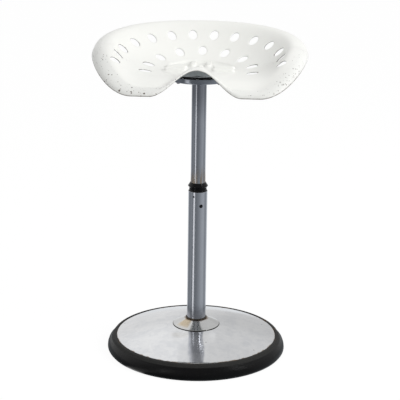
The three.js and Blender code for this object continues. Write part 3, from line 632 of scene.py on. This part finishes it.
outer_chrome = tube_finish("outer_tube_chrome", (0.515, 0.53, 0.58), (0.60, 0.615, 0.65))
pock_grey = (0.10, 0.09, 0.085)
by_foot = 1 - outer_chrome.smooth(outer_chrome.z, 74 * mm, 118 * mm)
foot_haze = by_foot * (0.3 + 0.6 * outer_chrome.noise(6, 4))
hazy_metal = outer_chrome.mix(foot_haze, outer_chrome.metal, (0.26, 0.27, 0.30))
tube_foot, tube_top, tube_radius = span("outer_tube")
plating_foot, plating_top = (tube_radius - 0.5) * mm, (tube_radius - 0.15) * mm
# Painted shade: inside the plated skin, the bore, end faces and hole walls are near black, partly bare
# steel, partly the shade in the holes.
unplated_and_shaded = 1 - outer_chrome.smooth(outer_chrome.radius, plating_foot, plating_top)
hazy_metal = outer_chrome.mix(unplated_and_shaded, hazy_metal, (0.022, 0.02, 0.018))
outer_chrome.drive(
    Base_Color=outer_chrome.mix(outer_chrome.pocks, hazy_metal, pock_grey),
    Roughness=outer_chrome.dull + 0.4 * unplated_and_shaded,
)
tube_bore = tube_radius - 2
hole_angles = [math.radians(-112), math.radians(-66.5)]
hole_radii = [2.1, 4.1]
hole_heights = [tube_top - 10, tube_top - 31]
tube_outline = band(tube_bore, tube_radius, tube_foot, tube_top, 0.3, 0.3, 0.45, 0.3)
outer_tube = turned("outer_column_tube", tube_outline, 192)
hole_outward = np.array([[math.cos(a), math.sin(a), 0] for a in hole_angles])
hole_places = hole_outward * tube_radius + np.array([[0, 0, h] for h in hole_heights])
holes = points_object(
    "tube_holes", hole_places * mm, through=hole_outward, lengthways=[(0, 0, 1)] * 2,
    half_size=[(r * mm, r * mm, 6 * mm) for r in hole_radii],
)
worked(outer_tube, punched, places=holes, sides=40, rings=1, flare=0.0, finish=outer_chrome.material)
fit(outer_tube, outer_chrome.material, "base", ["outer_tube"])

# Guide sleeve: a black moulded bush pressed into the tube's top; its flange lies on the tube's end and
# three grooves run round its waist. A pin, painted near black as the shade in its hole, and the sleeve's
# own lug hold it in the tube's holes.
black_moulding = clouded(
    "black_moulding", 5, (0.0015, 0.0015, 0.002), (0.004, 0.004, 0.0045), (0.06, 0.08),
    Specular_IOR_Level=0.2,
)
black_moulding.bump(black_moulding.noise(1.3, 2), 0.003, 0.5)
sleeve_foot, sleeve_top, _ = span("guide_sleeve")
sleeve_bore, sleeve_body, sleeve_neck = 16.6, 18.9, 18.0
flange, waist, groove_floor, groove_pitch = 20.4, 19.3, 18.95, 1.25
flange_foot = tube_top + 0.3
flange_top = flange_foot + 2.4
sleeve_shoulder = flange_top + 4.6
sleeve_outline = [
    (sleeve_bore, sleeve_foot, 0.4), (sleeve_body, sleeve_foot, 0.4), (sleeve_body, flange_foot, 0.1),
    (flange, flange_foot, 0.3), (flange, flange_foot + 1.2, 0.4), (waist, flange_top, 0.5),
]
for groove in range(3):
    groove_foot = flange_top + 0.9 + groove_pitch * groove
    sleeve_outline += [
        (waist, groove_foot, 0.12), (groove_floor, groove_foot + 0.25, 0.12),
        (waist, groove_foot + 0.5, 0.12),
    ]
sleeve_outline += [
    (waist, sleeve_shoulder, 0.3), (sleeve_neck, sleeve_shoulder, 0.1), (sleeve_neck, sleeve_top, 0.3),
    (sleeve_bore, sleeve_top, 0.3),
]
sleeve = turned("guide_sleeve_moulding", softened(sleeve_outline, 3))
fit(sleeve, black_moulding.material, "base", ["guide_sleeve"])


def plug(name, radius, inner, outer, angle, height):
    """A short round bar with a domed end that lies in a cross hole of the tube."""
    bar = turned(name, band(0, radius, inner, outer, 0, 0.2, 0.5, 0), 32)
    bar.data.transform(
        Matrix.Translation((0, 0, height * mm)) @ Matrix.Rotation(angle, 4, "Z")
        @ Matrix.Rotation(math.pi / 2, 4, "Y")
    )
    return bar


# Painted shade: the pin is near black so that its hole reads dark.
pin_painted_shade = clouded(
    "blackened_pin", 1.5, (0.002, 0.002, 0.002), (0.008, 0.007, 0.006), (0.60, 0.25),
    Metallic=0.2, Specular_IOR_Level=0.2,
)
sleeve_pin = plug("sleeve_pin_steel", 1.5, sleeve_bore, tube_radius - 1.9, hole_angles[0], hole_heights[0])
fit(sleeve_pin, pin_painted_shade.material, "base", ["sleeve_pin"])
sleeve_lug = plug("sleeve_lug", 3.7, 18.6, tube_radius - 0.6, hole_angles[1], hole_heights[1])
sleeve_lug.data.materials.append(black_moulding.material)
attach(sleeve_lug, "base")

# Twist collar: a glossy black cone with a sharp lip, moulded in one piece. A quarter turn draws its thin
# top shut round the inner tube.
clamp_foot, clamp_top, clamp_lip = span("clamp_collar")
clamp_recess, clamp_neck, clamp_ceiling = 18.3, 17.4, clamp_foot + 6.0
clamp_outline = softened([
    (clamp_recess, clamp_foot, 0.2), (19.7, clamp_foot, 0.35), (20.0, clamp_foot + 1.4, 0.5),
    (clamp_lip, clamp_foot + 3.6, 0.5), (clamp_lip, clamp_foot + 4.5, 0.5), (20.6, clamp_foot + 6.4, 1.2),
    (clamp_neck, clamp_top, 0.35), (sleeve_bore, clamp_top, 0.2), (sleeve_bore, clamp_ceiling, 0.2),
    (clamp_recess, clamp_ceiling, 0.2),
])
clamp = turned("twist_collar_moulding", clamp_outline)
fit(clamp, black_moulding.material, "twist_collar", ["clamp_collar"])

# Inner tube: thinner chromed tube that slides in the sleeve. Above the collar the plating is scraped and
# rusty. The plastic guide pinned on its foot stays as packed, out of sight in the outer tube.
inner_chrome = tube_finish("inner_tube_chrome", (0.38, 0.395, 0.44), (0.60, 0.615, 0.65))
rust_noise = inner_chrome.noise(3.2, 4, stretch=(1, 1, 16))
just_above = 1 - inner_chrome.smooth(inner_chrome.z, 392 * mm, 440 * mm)
rust = just_above * inner_chrome.smooth(rust_noise + just_above * 0.12, 0.50, 0.66)
# Painted shade: the tube darkens towards its top, standing for the seat's shaded underside mirrored in it.
painted_seat_shade = inner_chrome.smooth(inner_chrome.z, 520 * mm, 600 * mm) * (0.45 + 0.6 * rust_noise)
inner_metal = inner_chrome.mix(inner_chrome.pocks, inner_chrome.metal, pock_grey)
seat_shaded_metal = inner_chrome.mix(painted_seat_shade, inner_metal, (0.24, 0.245, 0.27))
inner_chrome.drive(
    Base_Color=inner_chrome.mix(rust * 0.75, seat_shaded_metal, (0.36, 0.26, 0.15)),
    Roughness=inner_chrome.dull + 0.3 * rust,
)
inner_foot, inner_top, inner_radius = span("inner_tube")
inner_outline = band(inner_radius - 1.8, inner_radius, inner_foot, inner_top, 0.3, 0.3, 0.2, 0.2)
inner_tube = turned("inner_column_tube", inner_outline)
fit(inner_tube, inner_chrome.material, "column", ["inner_tube"])
dress(black_moulding.material, "foot_guide")
dress(zinc.material, "foot_guide_pin")

# Swivel dish: a shallow pan spun from sheet and welded on the inner tube. It is chromed like the column,
# but has gone dark and dull.
dish_chrome = clouded(
    "dish_dark_chrome", 12, (0.25, 0.265, 0.30), (0.36, 0.375, 0.41), (0.10, 0.16), 4, 0.5, Metallic=1.0,
)
dish_chrome.bump(dish_chrome.cloud, 0.08, 0.5)
dish_sheet = 1.5
dish_foot, dish_top, dish_radius = span("swivel_dish")
dish_outline = softened([
    (0, dish_foot, 0), (dish_radius, dish_foot, 5.0), (dish_radius, dish_top, 0.5),
    (dish_radius - dish_sheet, dish_top, 0.5), (dish_radius - dish_sheet, dish_foot + dish_sheet, 3.5),
    (0, dish_foot + dish_sheet, 0),
], 6)
fit(turned("swivel_pan", dish_outline, 160), dish_chrome.material, "column", ["swivel_dish"])

# Races, cage and balls: the seat turns on twelve steel balls between two dark pressed races. Only the
# upper race's edge shows, in the gap between the dish and the top plate.
dark_steel = clouded(
    "dark_steel", 3, (0.015, 0.015, 0.017), (0.045, 0.043, 0.040), (0.48, 0.30), 4, 0.3, Metallic=0.85,
)
dark_steel.bump(dark_steel.cloud, 0.06)
ball_steel = clouded("ball_steel", 2, (0.52, 0.52, 0.53), (0.62, 0.62, 0.62), (0.12, 0.1), 2, Metallic=1.0)
dress(dark_steel.material, "lower_race")
dress(zinc.material, "ball_cage")
dress(ball_steel.material, *[f"ball_{i:02d}" for i in range(1, 13)])
race_bore = 54.6
race_foot, race_top, race_radius = span("upper_race")
race_outline = band(race_bore, race_radius, race_foot, race_top, 0.4, 0.5, 0.5, 0.4)
upper_race = turned("upper_race_ring", race_outline, 160)
fit(upper_race, dark_steel.material, "seat", ["upper_race"])

# Race fasteners: four bolts from inside the swivel hold the lower race on the dish. Their dark nuts and
# bolt ends show below it.
copies, asked = recipe("copies_on_a_circle", {
    "Pattern": "Object", "Circle": "Float", "Count": "Int", "First": "Float", "Step": "Float",
    "Swing": "Float", "Twist": "Float", "Finish": "Material",
})
number = copies.node("GeometryNodeInputIndex")
angle = asked["First"] + asked["Step"] * number + asked["Swing"] * number.maths("MODULO", number, 2.0)
spot = copies.node("ShaderNodeCombineXYZ", None, {
    0: asked["Circle"] * angle.maths("COSINE", angle), 1: asked["Circle"] * angle.maths("SINE", angle),
})
spots = copies.node("GeometryNodePoints", None, {"Count": asked["Count"], "Position": spot})
twist = copies.node(
    "FunctionNodeRandomValue", {"data_type": "FLOAT"}, {2: 0.0, 3: asked["Twist"], "Seed": 5}, 1,
)
pattern = copies.node(
    "GeometryNodeObjectInfo", {"transform_space": "ORIGINAL"}, {"Object": asked["Pattern"]}, "Geometry",
)
placed = copies.node("GeometryNodeInstanceOnPoints", None, {
    "Points": spots, "Instance": pattern,
    "Rotation": copies.node("ShaderNodeCombineXYZ", None, {2: angle + twist}),
})
complete(copies, placed, asked["Finish"])


def copied(name, pattern, circle, material, first=0, swing=0, count=4):
    """Copies of a pattern piece on a bolt circle, as one mesh; the pattern itself is thrown away."""
    carrier = placed_in_scene(name, bpy.data.meshes.new(name))
    worked(
        carrier, copies, pattern=pattern, circle=circle * mm, count=count, first=math.radians(first),
        step=math.radians(360 / count), swing=math.radians(swing), twist=1.0, finish=material,
    )
    bpy.data.objects.remove(pattern)
    return carrier


def hex_nut(name, across_corners, foot, top, bore):
    """A hexagon nut with turned-off corners at both ends."""
    corner = across_corners / 2
    nut = turned(name, [
        (bore, foot), (corner - 0.7, foot), (corner, foot + 0.5), (corner, top - 0.5), (corner - 0.7, top),
        (bore, top),
    ], 48)
    flat = corner * math.cos(math.pi / 6) * mm
    for vertex in nut.data.vertices:
        for side in range(6):
            normal = Vector((math.cos(side * math.pi / 3), math.sin(side * math.pi / 3), 0))
            beyond = vertex.co.dot(normal) - flat
            if beyond > 0:
                vertex.co -= normal * beyond
    return nut


def all_four(node):
    return [f"{node}_{i}" for i in range(1, 5)]


race_bolting = {"circle": 49.6, "material": dark_steel.material, "first": 28, "swing": 34}
nut_foot, nut_top, _ = span("race_nut_1")
race_nuts = copied("race_nuts", hex_nut("nut_pattern", 10.4, nut_foot, nut_top, 3.05), **race_bolting)
fit(race_nuts, dark_steel.material, "column", all_four("race_nut"), 25)
bolt_foot, bolt_top, _ = span("race_bolt_1")
bolt_shank, bolt_head, bolt_shoulder = 3.0, 4.5, bolt_top - 2.4
bolt_pattern = turned("bolt_pattern", softened([
    (0, bolt_foot, 0), (bolt_shank, bolt_foot, 0.5), (bolt_shank, bolt_shoulder, 0.1),
    (bolt_head, bolt_shoulder, 0.3), (bolt_head, bolt_top, 1.2), (0, bolt_top, 0),
]), 32)
race_bolts = copied("race_bolts", bolt_pattern, **race_bolting)
fit(race_bolts, dark_steel.material, "column", all_four("race_bolt"))

# Top plate: a flat grey-painted steel disc, spot welded to the upper race and bolted to the seat. Its
# front shows through the seat's notch.
grey_paint = clouded("grey_painted_steel", 10, (0.30, 0.325, 0.34), (0.37, 0.395, 0.40), (0.38, 0.2), 4)
grey_paint.bump(grey_paint.noise(1.2, 2), 0.05, 0.5)
plate_foot, plate_top, plate_radius = span("top_plate")
plate_outline = band(0, plate_radius, plate_foot, plate_top, 0, 0.7, 0.7, 0)
fit(turned("seat_plate", plate_outline, 160), grey_paint.material, "seat", ["top_plate"])
dress(zinc.material, *all_four("seat_nut"))

# Seat: one sheet of steel pressed to the sitter's shape, with three pairs of ribs round the bolted middle,
# a lip rolled down all round and twenty-three punched ovals. It is enamelled white, chipped along the lip,
# and its underside is painted grey. Painted shade greys its left lip and darkens the side slots' walls.
pad_top = 641.1
sheet = 2.0
half_width, back_reach, lobe_reach, notch_reach = 233.0, 200.0, 151.5, 95.0
widest_at, lobe_middle, notch_half = 16.0, 132.0, 96.5
squareness, side_fall = 2 / 2.02, 2.45
# At the back's middle, the side, the lobe and the notch: the crest's height, the lip's width and drop, and
# how full the bowl's foot and brow are.
rim_sections = [
    (78.5, 52.5, -16.0, 21.0), (22.0, 30.0, 29.0, 16.0), (14.0, 22.5, 15.5, 6.0), (0.55, 0.91, 0.91, 0.55),
    (0.16, 0.21, 0.21, 0.16),
]
bowl_start = 50.0
hollow_depth, hollow_aside, hollow_ahead, hollow_reach = 4, 118, 42, 46
pad_radius, pad_to_crest, pad_step = 80.0, 10.0, 6.0
rib_start, rib_end, rib_offset, rib_height, rib_half, rib_flank = 34.0, 69.0, 17.0, 5.0, 6.3, 4.0


def eased(share):
    return (1 - np.cos(np.pi * np.clip(share, 0, 1))) / 2


def rim_at(place):
    """The rim's right half, 0 at the back's middle, 1 side, 2 lobe, 3 notch: its plan and its sections."""
    turn = np.pi / 2 * np.clip(np.where(place <= 1, place, place - 1), 0, 1)
    front_x = lobe_middle * (3 - place)
    fall, lobe_fall = np.clip(place, 0, 1) ** side_fall, eased(place - 1)
    front_fall = eased(front_x / notch_half)
    parts = [place <= 1, place <= 2]
    x = np.select(parts, [
        half_width * np.sin(turn) ** squareness, lobe_middle + (half_width - lobe_middle) * np.cos(turn),
    ], front_x)
    y = np.select(parts, [
        widest_at + (back_reach - widest_at) * np.clip(np.cos(turn), 0, 1) ** squareness,
        widest_at - (lobe_reach + widest_at) * np.sin(turn),
    ], -notch_reach - (lobe_reach - notch_reach) * front_fall)
    sections = [
        np.select(parts, [between(back, side, fall), between(side, lobe, lobe_fall)],
                  between(notch, lobe, front_fall))
        for back, side, lobe, notch in rim_sections
    ]
    return x, y, *sections


def soft_step(edge, width, value):
    t = np.clip((value - edge + width / 2) / width, 0, 1)
    return t * t * (3 - 2 * t)


dense_place = np.linspace(0, 3, 6001)
dense_x, dense_y = rim_at(dense_place)[:2]
dense_azimuth = np.arctan2(dense_x, dense_y)


def seat_height(x, y):
    """Height of the upper surface above the bolted middle, and how far out on the lip it is, 0 to 1."""
    azimuth = np.arctan2(np.abs(x), y)
    place = np.interp(azimuth, dense_azimuth, dense_place)
    rim_x, rim_y, crest, lip_width, drop, foot, brow = rim_at(place)
    radius = np.hypot(x, y)
    crest_radius = np.hypot(rim_x, rim_y) - lip_width
    run = crest_radius - bowl_start
    knots = [bowl_start, bowl_start + foot * run, crest_radius - brow * run, crest_radius]
    low, high = np.zeros_like(radius), np.ones_like(radius)
    for _ in range(26):
        t = (low + high) / 2
        reach = knots[0] * (1 - t) ** 3 + knots[3] * t ** 3
        reach += 3 * t * (1 - t) * (knots[1] * (1 - t) + knots[2] * t)
        low, high = np.where(reach < radius, t, low), np.where(reach < radius, high, t)
    bowl = np.where(radius > bowl_start, crest * (3 * low * low * (1 - low) + low ** 3), 0)
    aside, ahead = (np.abs(x) - hollow_aside) / hollow_reach, (y + hollow_ahead) / hollow_reach
    hollow = hollow_depth * np.exp(-(aside ** 2 + ahead ** 2))
    ribs = np.zeros_like(radius)
    for along, aside in ((np.abs(x), np.abs(y)), (y, np.abs(x))):
        from_middle_line = np.hypot(along - np.clip(along, rib_start, rib_end), aside - rib_offset)
        ribs = np.maximum(ribs, rib_height * (1 - soft_step(rib_half, rib_flank, from_middle_line)))
    free = soft_step(np.minimum(pad_radius, crest_radius - pad_to_crest), pad_step, radius)
    inside = (bowl - hollow) * free + ribs * (1 - free)
    out = np.clip((radius - crest_radius) / lip_width, 0, 1)
    on_lip = crest - drop * (1 - np.sqrt(1 - out ** 2)) - hollow
    return np.where(radius < crest_radius, inside, on_lip), (radius - crest_radius) / lip_width


def seat_slopes(x, y, probe=1.0):
    """How steeply the upper surface rises to the right and to the back."""
    height = seat_height(x, y)[0]
    return (seat_height(x + probe, y)[0] - height) / probe, (seat_height(x, y + probe)[0] - height) / probe


def seat_grid():
    """The upper surface as rays by rings of points, in millimetres."""
    stretches = [np.linspace(p, p + 1, n, endpoint=False) for p, n in ((0, 92), (1, 84), (2, 64))]
    right = np.concatenate([*stretches, [3.0]])
    rim_x, rim_y, _, lip_width = rim_at(right)[:4]
    rim_x, rim_y, lip_width = (
        np.concatenate([half, sign * half[-2:0:-1]])[:, None]
        for half, sign in ((rim_x, -1), (rim_y, 1), (lip_width, 1))
    )
    reach = np.hypot(rim_x, rim_y)
    crest_radius = reach - lip_width
    pad_edge = np.minimum(pad_radius, crest_radius - pad_to_crest)
    across_ribs = np.concatenate([np.arange(24, 36, 1.2), np.arange(38, 66, 4), np.arange(67, 77, 1.2)])
    pad_rings = pad_edge / pad_radius * np.concatenate([[6, 13, 19], across_ribs])
    step_rings = pad_edge + pad_step * np.array([-0.35, -0.15, 0.1, 0.35])
    wall_rings = pad_edge + 4 + (crest_radius - pad_edge - 4) * np.linspace(0, 0.985, 31)
    lip_rings = crest_radius + lip_width * np.sin(np.radians(np.linspace(0, 87, 12)))
    radius = np.concatenate([pad_rings, step_rings, wall_rings, lip_rings], axis=1)
    x, y = rim_x / reach * radius, rim_y / reach * radius
    return np.stack([x, y, seat_height(x, y)[0]], axis=-1)


def seat_blank():
    """The pressed sheet: upper surface, the same a sheet lower along its normals, and a rounded edge."""
    top = seat_grid()
    rays = len(top)
    around = np.roll(top, -1, axis=0) - np.roll(top, 1, axis=0)
    inward = np.concatenate([np.zeros((rays, 1, 3)), top[:, :-1]], axis=1)
    outward = np.concatenate([top[:, 1:], top[:, -1:]], axis=1) - inward
    normals = -np.cross(outward, around)
    normals /= np.linalg.norm(normals, axis=-1, keepdims=True)
    below = top - sheet * normals
    edge = (top[:, -1:] + below[:, -1:]) / 2 + np.array([0, 0, -0.5])
    skin = np.concatenate([top, edge, below[:, ::-1]], axis=1)
    points = np.concatenate([skin.reshape(-1, 3), [[0, 0, 0], [0, 0, -sheet]]])
    points[:, 2] += pad_top
    count = skin.shape[1]
    ray, ring = np.meshgrid(np.arange(rays), np.arange(count - 1), indexing="ij")
    after = (ray + 1) % rays
    here, beside = ray * count + ring, after * count + ring
    quads = np.stack([here, beside, beside + 1, here + 1], -1)
    faces = [tuple(face) for face in quads.reshape(-1, 4).tolist()]
    first = (np.arange(rays) * count).tolist()
    for i in range(rays):
        j = (i + 1) % rays
        faces.append((rays * count, first[j], first[i]))
        faces.append((rays * count + 1, first[i] + count - 1, first[j] + count - 1))
    mesh = bpy.data.meshes.new("seat_blank")
    mesh.from_pydata([tuple(p) for p in (points * mm).tolist()], [], faces)
    return placed_in_scene("pressed_seat", mesh)


def horseshoe(side, back, count, pitch):
    """Evenly spaced places on half an ellipse at the back that runs on straight to the front."""
    turn = np.linspace(0, np.pi / 2, 2000)
    xs, ys = side * np.sin(turn), back * np.cos(turn)
    length = np.concatenate([[0], np.cumsum(np.hypot(np.diff(xs), np.diff(ys)))])
    along = (np.arange(count) - (count - 1) / 2) * pitch
    distance = np.abs(along)
    x = np.interp(distance, length, xs)
    y = np.where(distance > length[-1], length[-1] - distance, np.interp(distance, length, ys))
    return np.stack([np.sign(along) * x, y], axis=-1)


slot_half_length, slot_half_width = 12.6, 9.3
outer_row = {"side": half_width - 58, "back": back_reach - 54.5, "count": 14, "pitch": 48}
inner_row = {"side": half_width - 119, "back": back_reach - 87.5, "count": 9, "pitch": 52}
slots = np.concatenate([horseshoe(**outer_row), horseshoe(**inner_row)])
seat_bolt_circle, bolt_hole_radius = 32.0, 3.3
bolt_holes = seat_bolt_circle * np.array([[1, 0], [0, 1], [-1, 0], [0, -1]])
punches = np.concatenate([slots, bolt_holes])
heights = seat_height(punches[:, 0], punches[:, 1])[0]
slope_x, slope_y = seat_slopes(punches[:, 0], punches[:, 1])
punch_normals = np.stack([-slope_x, -slope_y, np.ones_like(slope_x)], axis=-1)
punch_places = np.column_stack([punches, heights + pad_top - sheet / 2]) * mm
punch_depth = 3.4
punch_sizes = [(slot_half_length * mm, slot_half_width * mm, punch_depth * mm)] * len(slots)
punch_sizes += [(bolt_hole_radius * mm, bolt_hole_radius * mm, punch_depth * mm)] * len(bolt_holes)
punch_points = points_object(
    "seat_punches", punch_places, through=punch_normals,
    lengthways=np.column_stack([punches, np.zeros(len(punches))]), half_size=punch_sizes,
)

enamel = Finish("white_enamel", Specular_IOR_Level=0.5)
under, wear, raw_edge = (
    enamel.node("ShaderNodeAttribute", {"attribute_name": label}, None, "Fac")
    for label in ("under", "wear", "raw_edge")
)
tone = enamel.noise(55, 4, warp=0.3)
grain = enamel.noise(7, 4)
enamel_white = enamel.mix(tone, (0.875, 0.878, 0.842), (0.895, 0.898, 0.868))
soil = enamel.smooth(grain, 0.5, 0.8) * 0.07
enamel_white = enamel.mix(soil, enamel_white, (0.70, 0.67, 0.58))
# Scuffs and painted shade: the grey is strongest on the left lip, which faces away from the light.
scuffs_and_shade = enamel.smooth(wear, 0.0, 0.5) * (0.45 + 0.55 * enamel.noise(2.4, 3)) * 0.55
enamel_white = enamel.mix(scuffs_and_shade, enamel_white, (0.64, 0.65, 0.635))
large_chips = enamel.specks(6.5, 0.42) * enamel.smooth(wear, 0.4, 0.7)
small_chips = enamel.specks(3.5, 0.33, seed=3.7) * enamel.smooth(wear, 0.1, 0.4)
chips_and_slot_shade = large_chips.maths("MAXIMUM", large_chips, small_chips)
# Painted shade: the side slots' walls take the bare colour too.
chips_and_slot_shade = chips_and_slot_shade.maths("MAXIMUM", chips_and_slot_shade, raw_edge * enamel.smooth(grain, 0.2, 0.5))
bare_steel_and_shade = enamel.mix(enamel.noise(3, 2), (0.05, 0.045, 0.042), (0.16, 0.12, 0.09))
upper = enamel.mix(chips_and_slot_shade, enamel_white, bare_steel_and_shade)
primer = enamel.mix(enamel.noise(10, 4), (0.29, 0.32, 0.33), (0.335, 0.365, 0.37))
enamel.drive(
    Base_Color=enamel.mix(under, upper, primer),
    Roughness=0.27 + 0.1 * tone + 0.3 * chips_and_slot_shade + 0.3 * under,
)
enamel.bump(enamel.noise(3.4, 2) * 0.2 + (1 - chips_and_slot_shade) * 1.2 + grain * 0.2, 0.1, 0.4)

seat = seat_blank()
worked(seat, punched, places=punch_points, sides=56, rings=16, flare=1.15, finish=enamel.material)
seat_points, seat_normals = np.empty((2, len(seat.data.vertices) * 3), np.float32)
seat.data.vertices.foreach_get("co", seat_points)
seat.data.vertices.foreach_get("normal", seat_normals)
seat_x, seat_y, seat_z = (seat_points.reshape(-1, 3) / mm).T
seat_normals = seat_normals.reshape(-1, 3)
seat_upper, out_on_lip = seat_height(seat_x, seat_y)
from_axis = np.hypot(np.hypot(seat_x, seat_y), 1)
outward = (seat_normals[:, 0] * seat_x + seat_normals[:, 1] * seat_y) / from_axis
rise_x, rise_y = seat_slopes(seat_x, seat_y)
depth_in_sheet = (seat_upper + pad_top - seat_z) / np.sqrt(1 + rise_x ** 2 + rise_y ** 2)
below_sheet = (depth_in_sheet > 1.6) | (seat_normals[:, 2] < -0.55)
facing_down = np.where(out_on_lip > 0.9, outward < 0, below_sheet)
bearing = np.degrees(np.arctan2(seat_x, -seat_y))
# Painted shade: the walls of the side slots are painted dark; the lobes' outer edge is bare steel.
cut_edge = (depth_in_sheet > 0.9) & ~facing_down & (out_on_lip < 0.5)
side_slots = np.clip((np.abs(seat_x) - 96) / 20, 0, 1)
# The left lip's wear also carries painted shade there.
left_wear_and_shade = np.exp(-((bearing + 52) / 34) ** 2)
right_worn = 0.55 * np.exp(-((bearing - 60) / 38) ** 2)
towards_edge = np.clip((out_on_lip + 0.25) / 0.8, 0, 1)
front_edge = (out_on_lip > 0.99) * np.clip((92 - np.abs(bearing)) / 30, 0, 1)
for label, values in (
    ("under", facing_down * 1.0),
    ("wear", towards_edge * np.maximum(left_wear_and_shade, right_worn)),
    ("raw_edge", np.where(cut_edge, side_slots, front_edge)),
):
    seat.data.attributes.new(label, "FLOAT", "POINT").data.foreach_set("value", values.astype(np.float32))
fit(seat, enamel.material, "seat", ["seat_shell"], 30)

# Seat bolts: four low domed heads that hold the seat's middle on the top plate. They are painted over with
# the seat.
tail, head_top, _ = span("seat_bolt_1")
head_foot = pad_top + 0.3
seat_bolt_shank, seat_bolt_head = 3.0, 6.0
seat_bolt_pattern = turned("seat_bolt_pattern", softened([
    (0, tail, 0), (seat_bolt_shank, tail, 0.4), (seat_bolt_shank, head_foot, 0.1),
    (seat_bolt_head, head_foot, 0.3), (seat_bolt_head, head_foot + 0.9, 0.6), (4.2, head_foot + 2.5, 1.2),
    (0, head_top, 0),
]), 40)
seat_bolts = copied("seat_bolts", seat_bolt_pattern, seat_bolt_circle, enamel.material)
fit(seat_bolts, enamel.material, "seat", all_four("seat_bolt"))
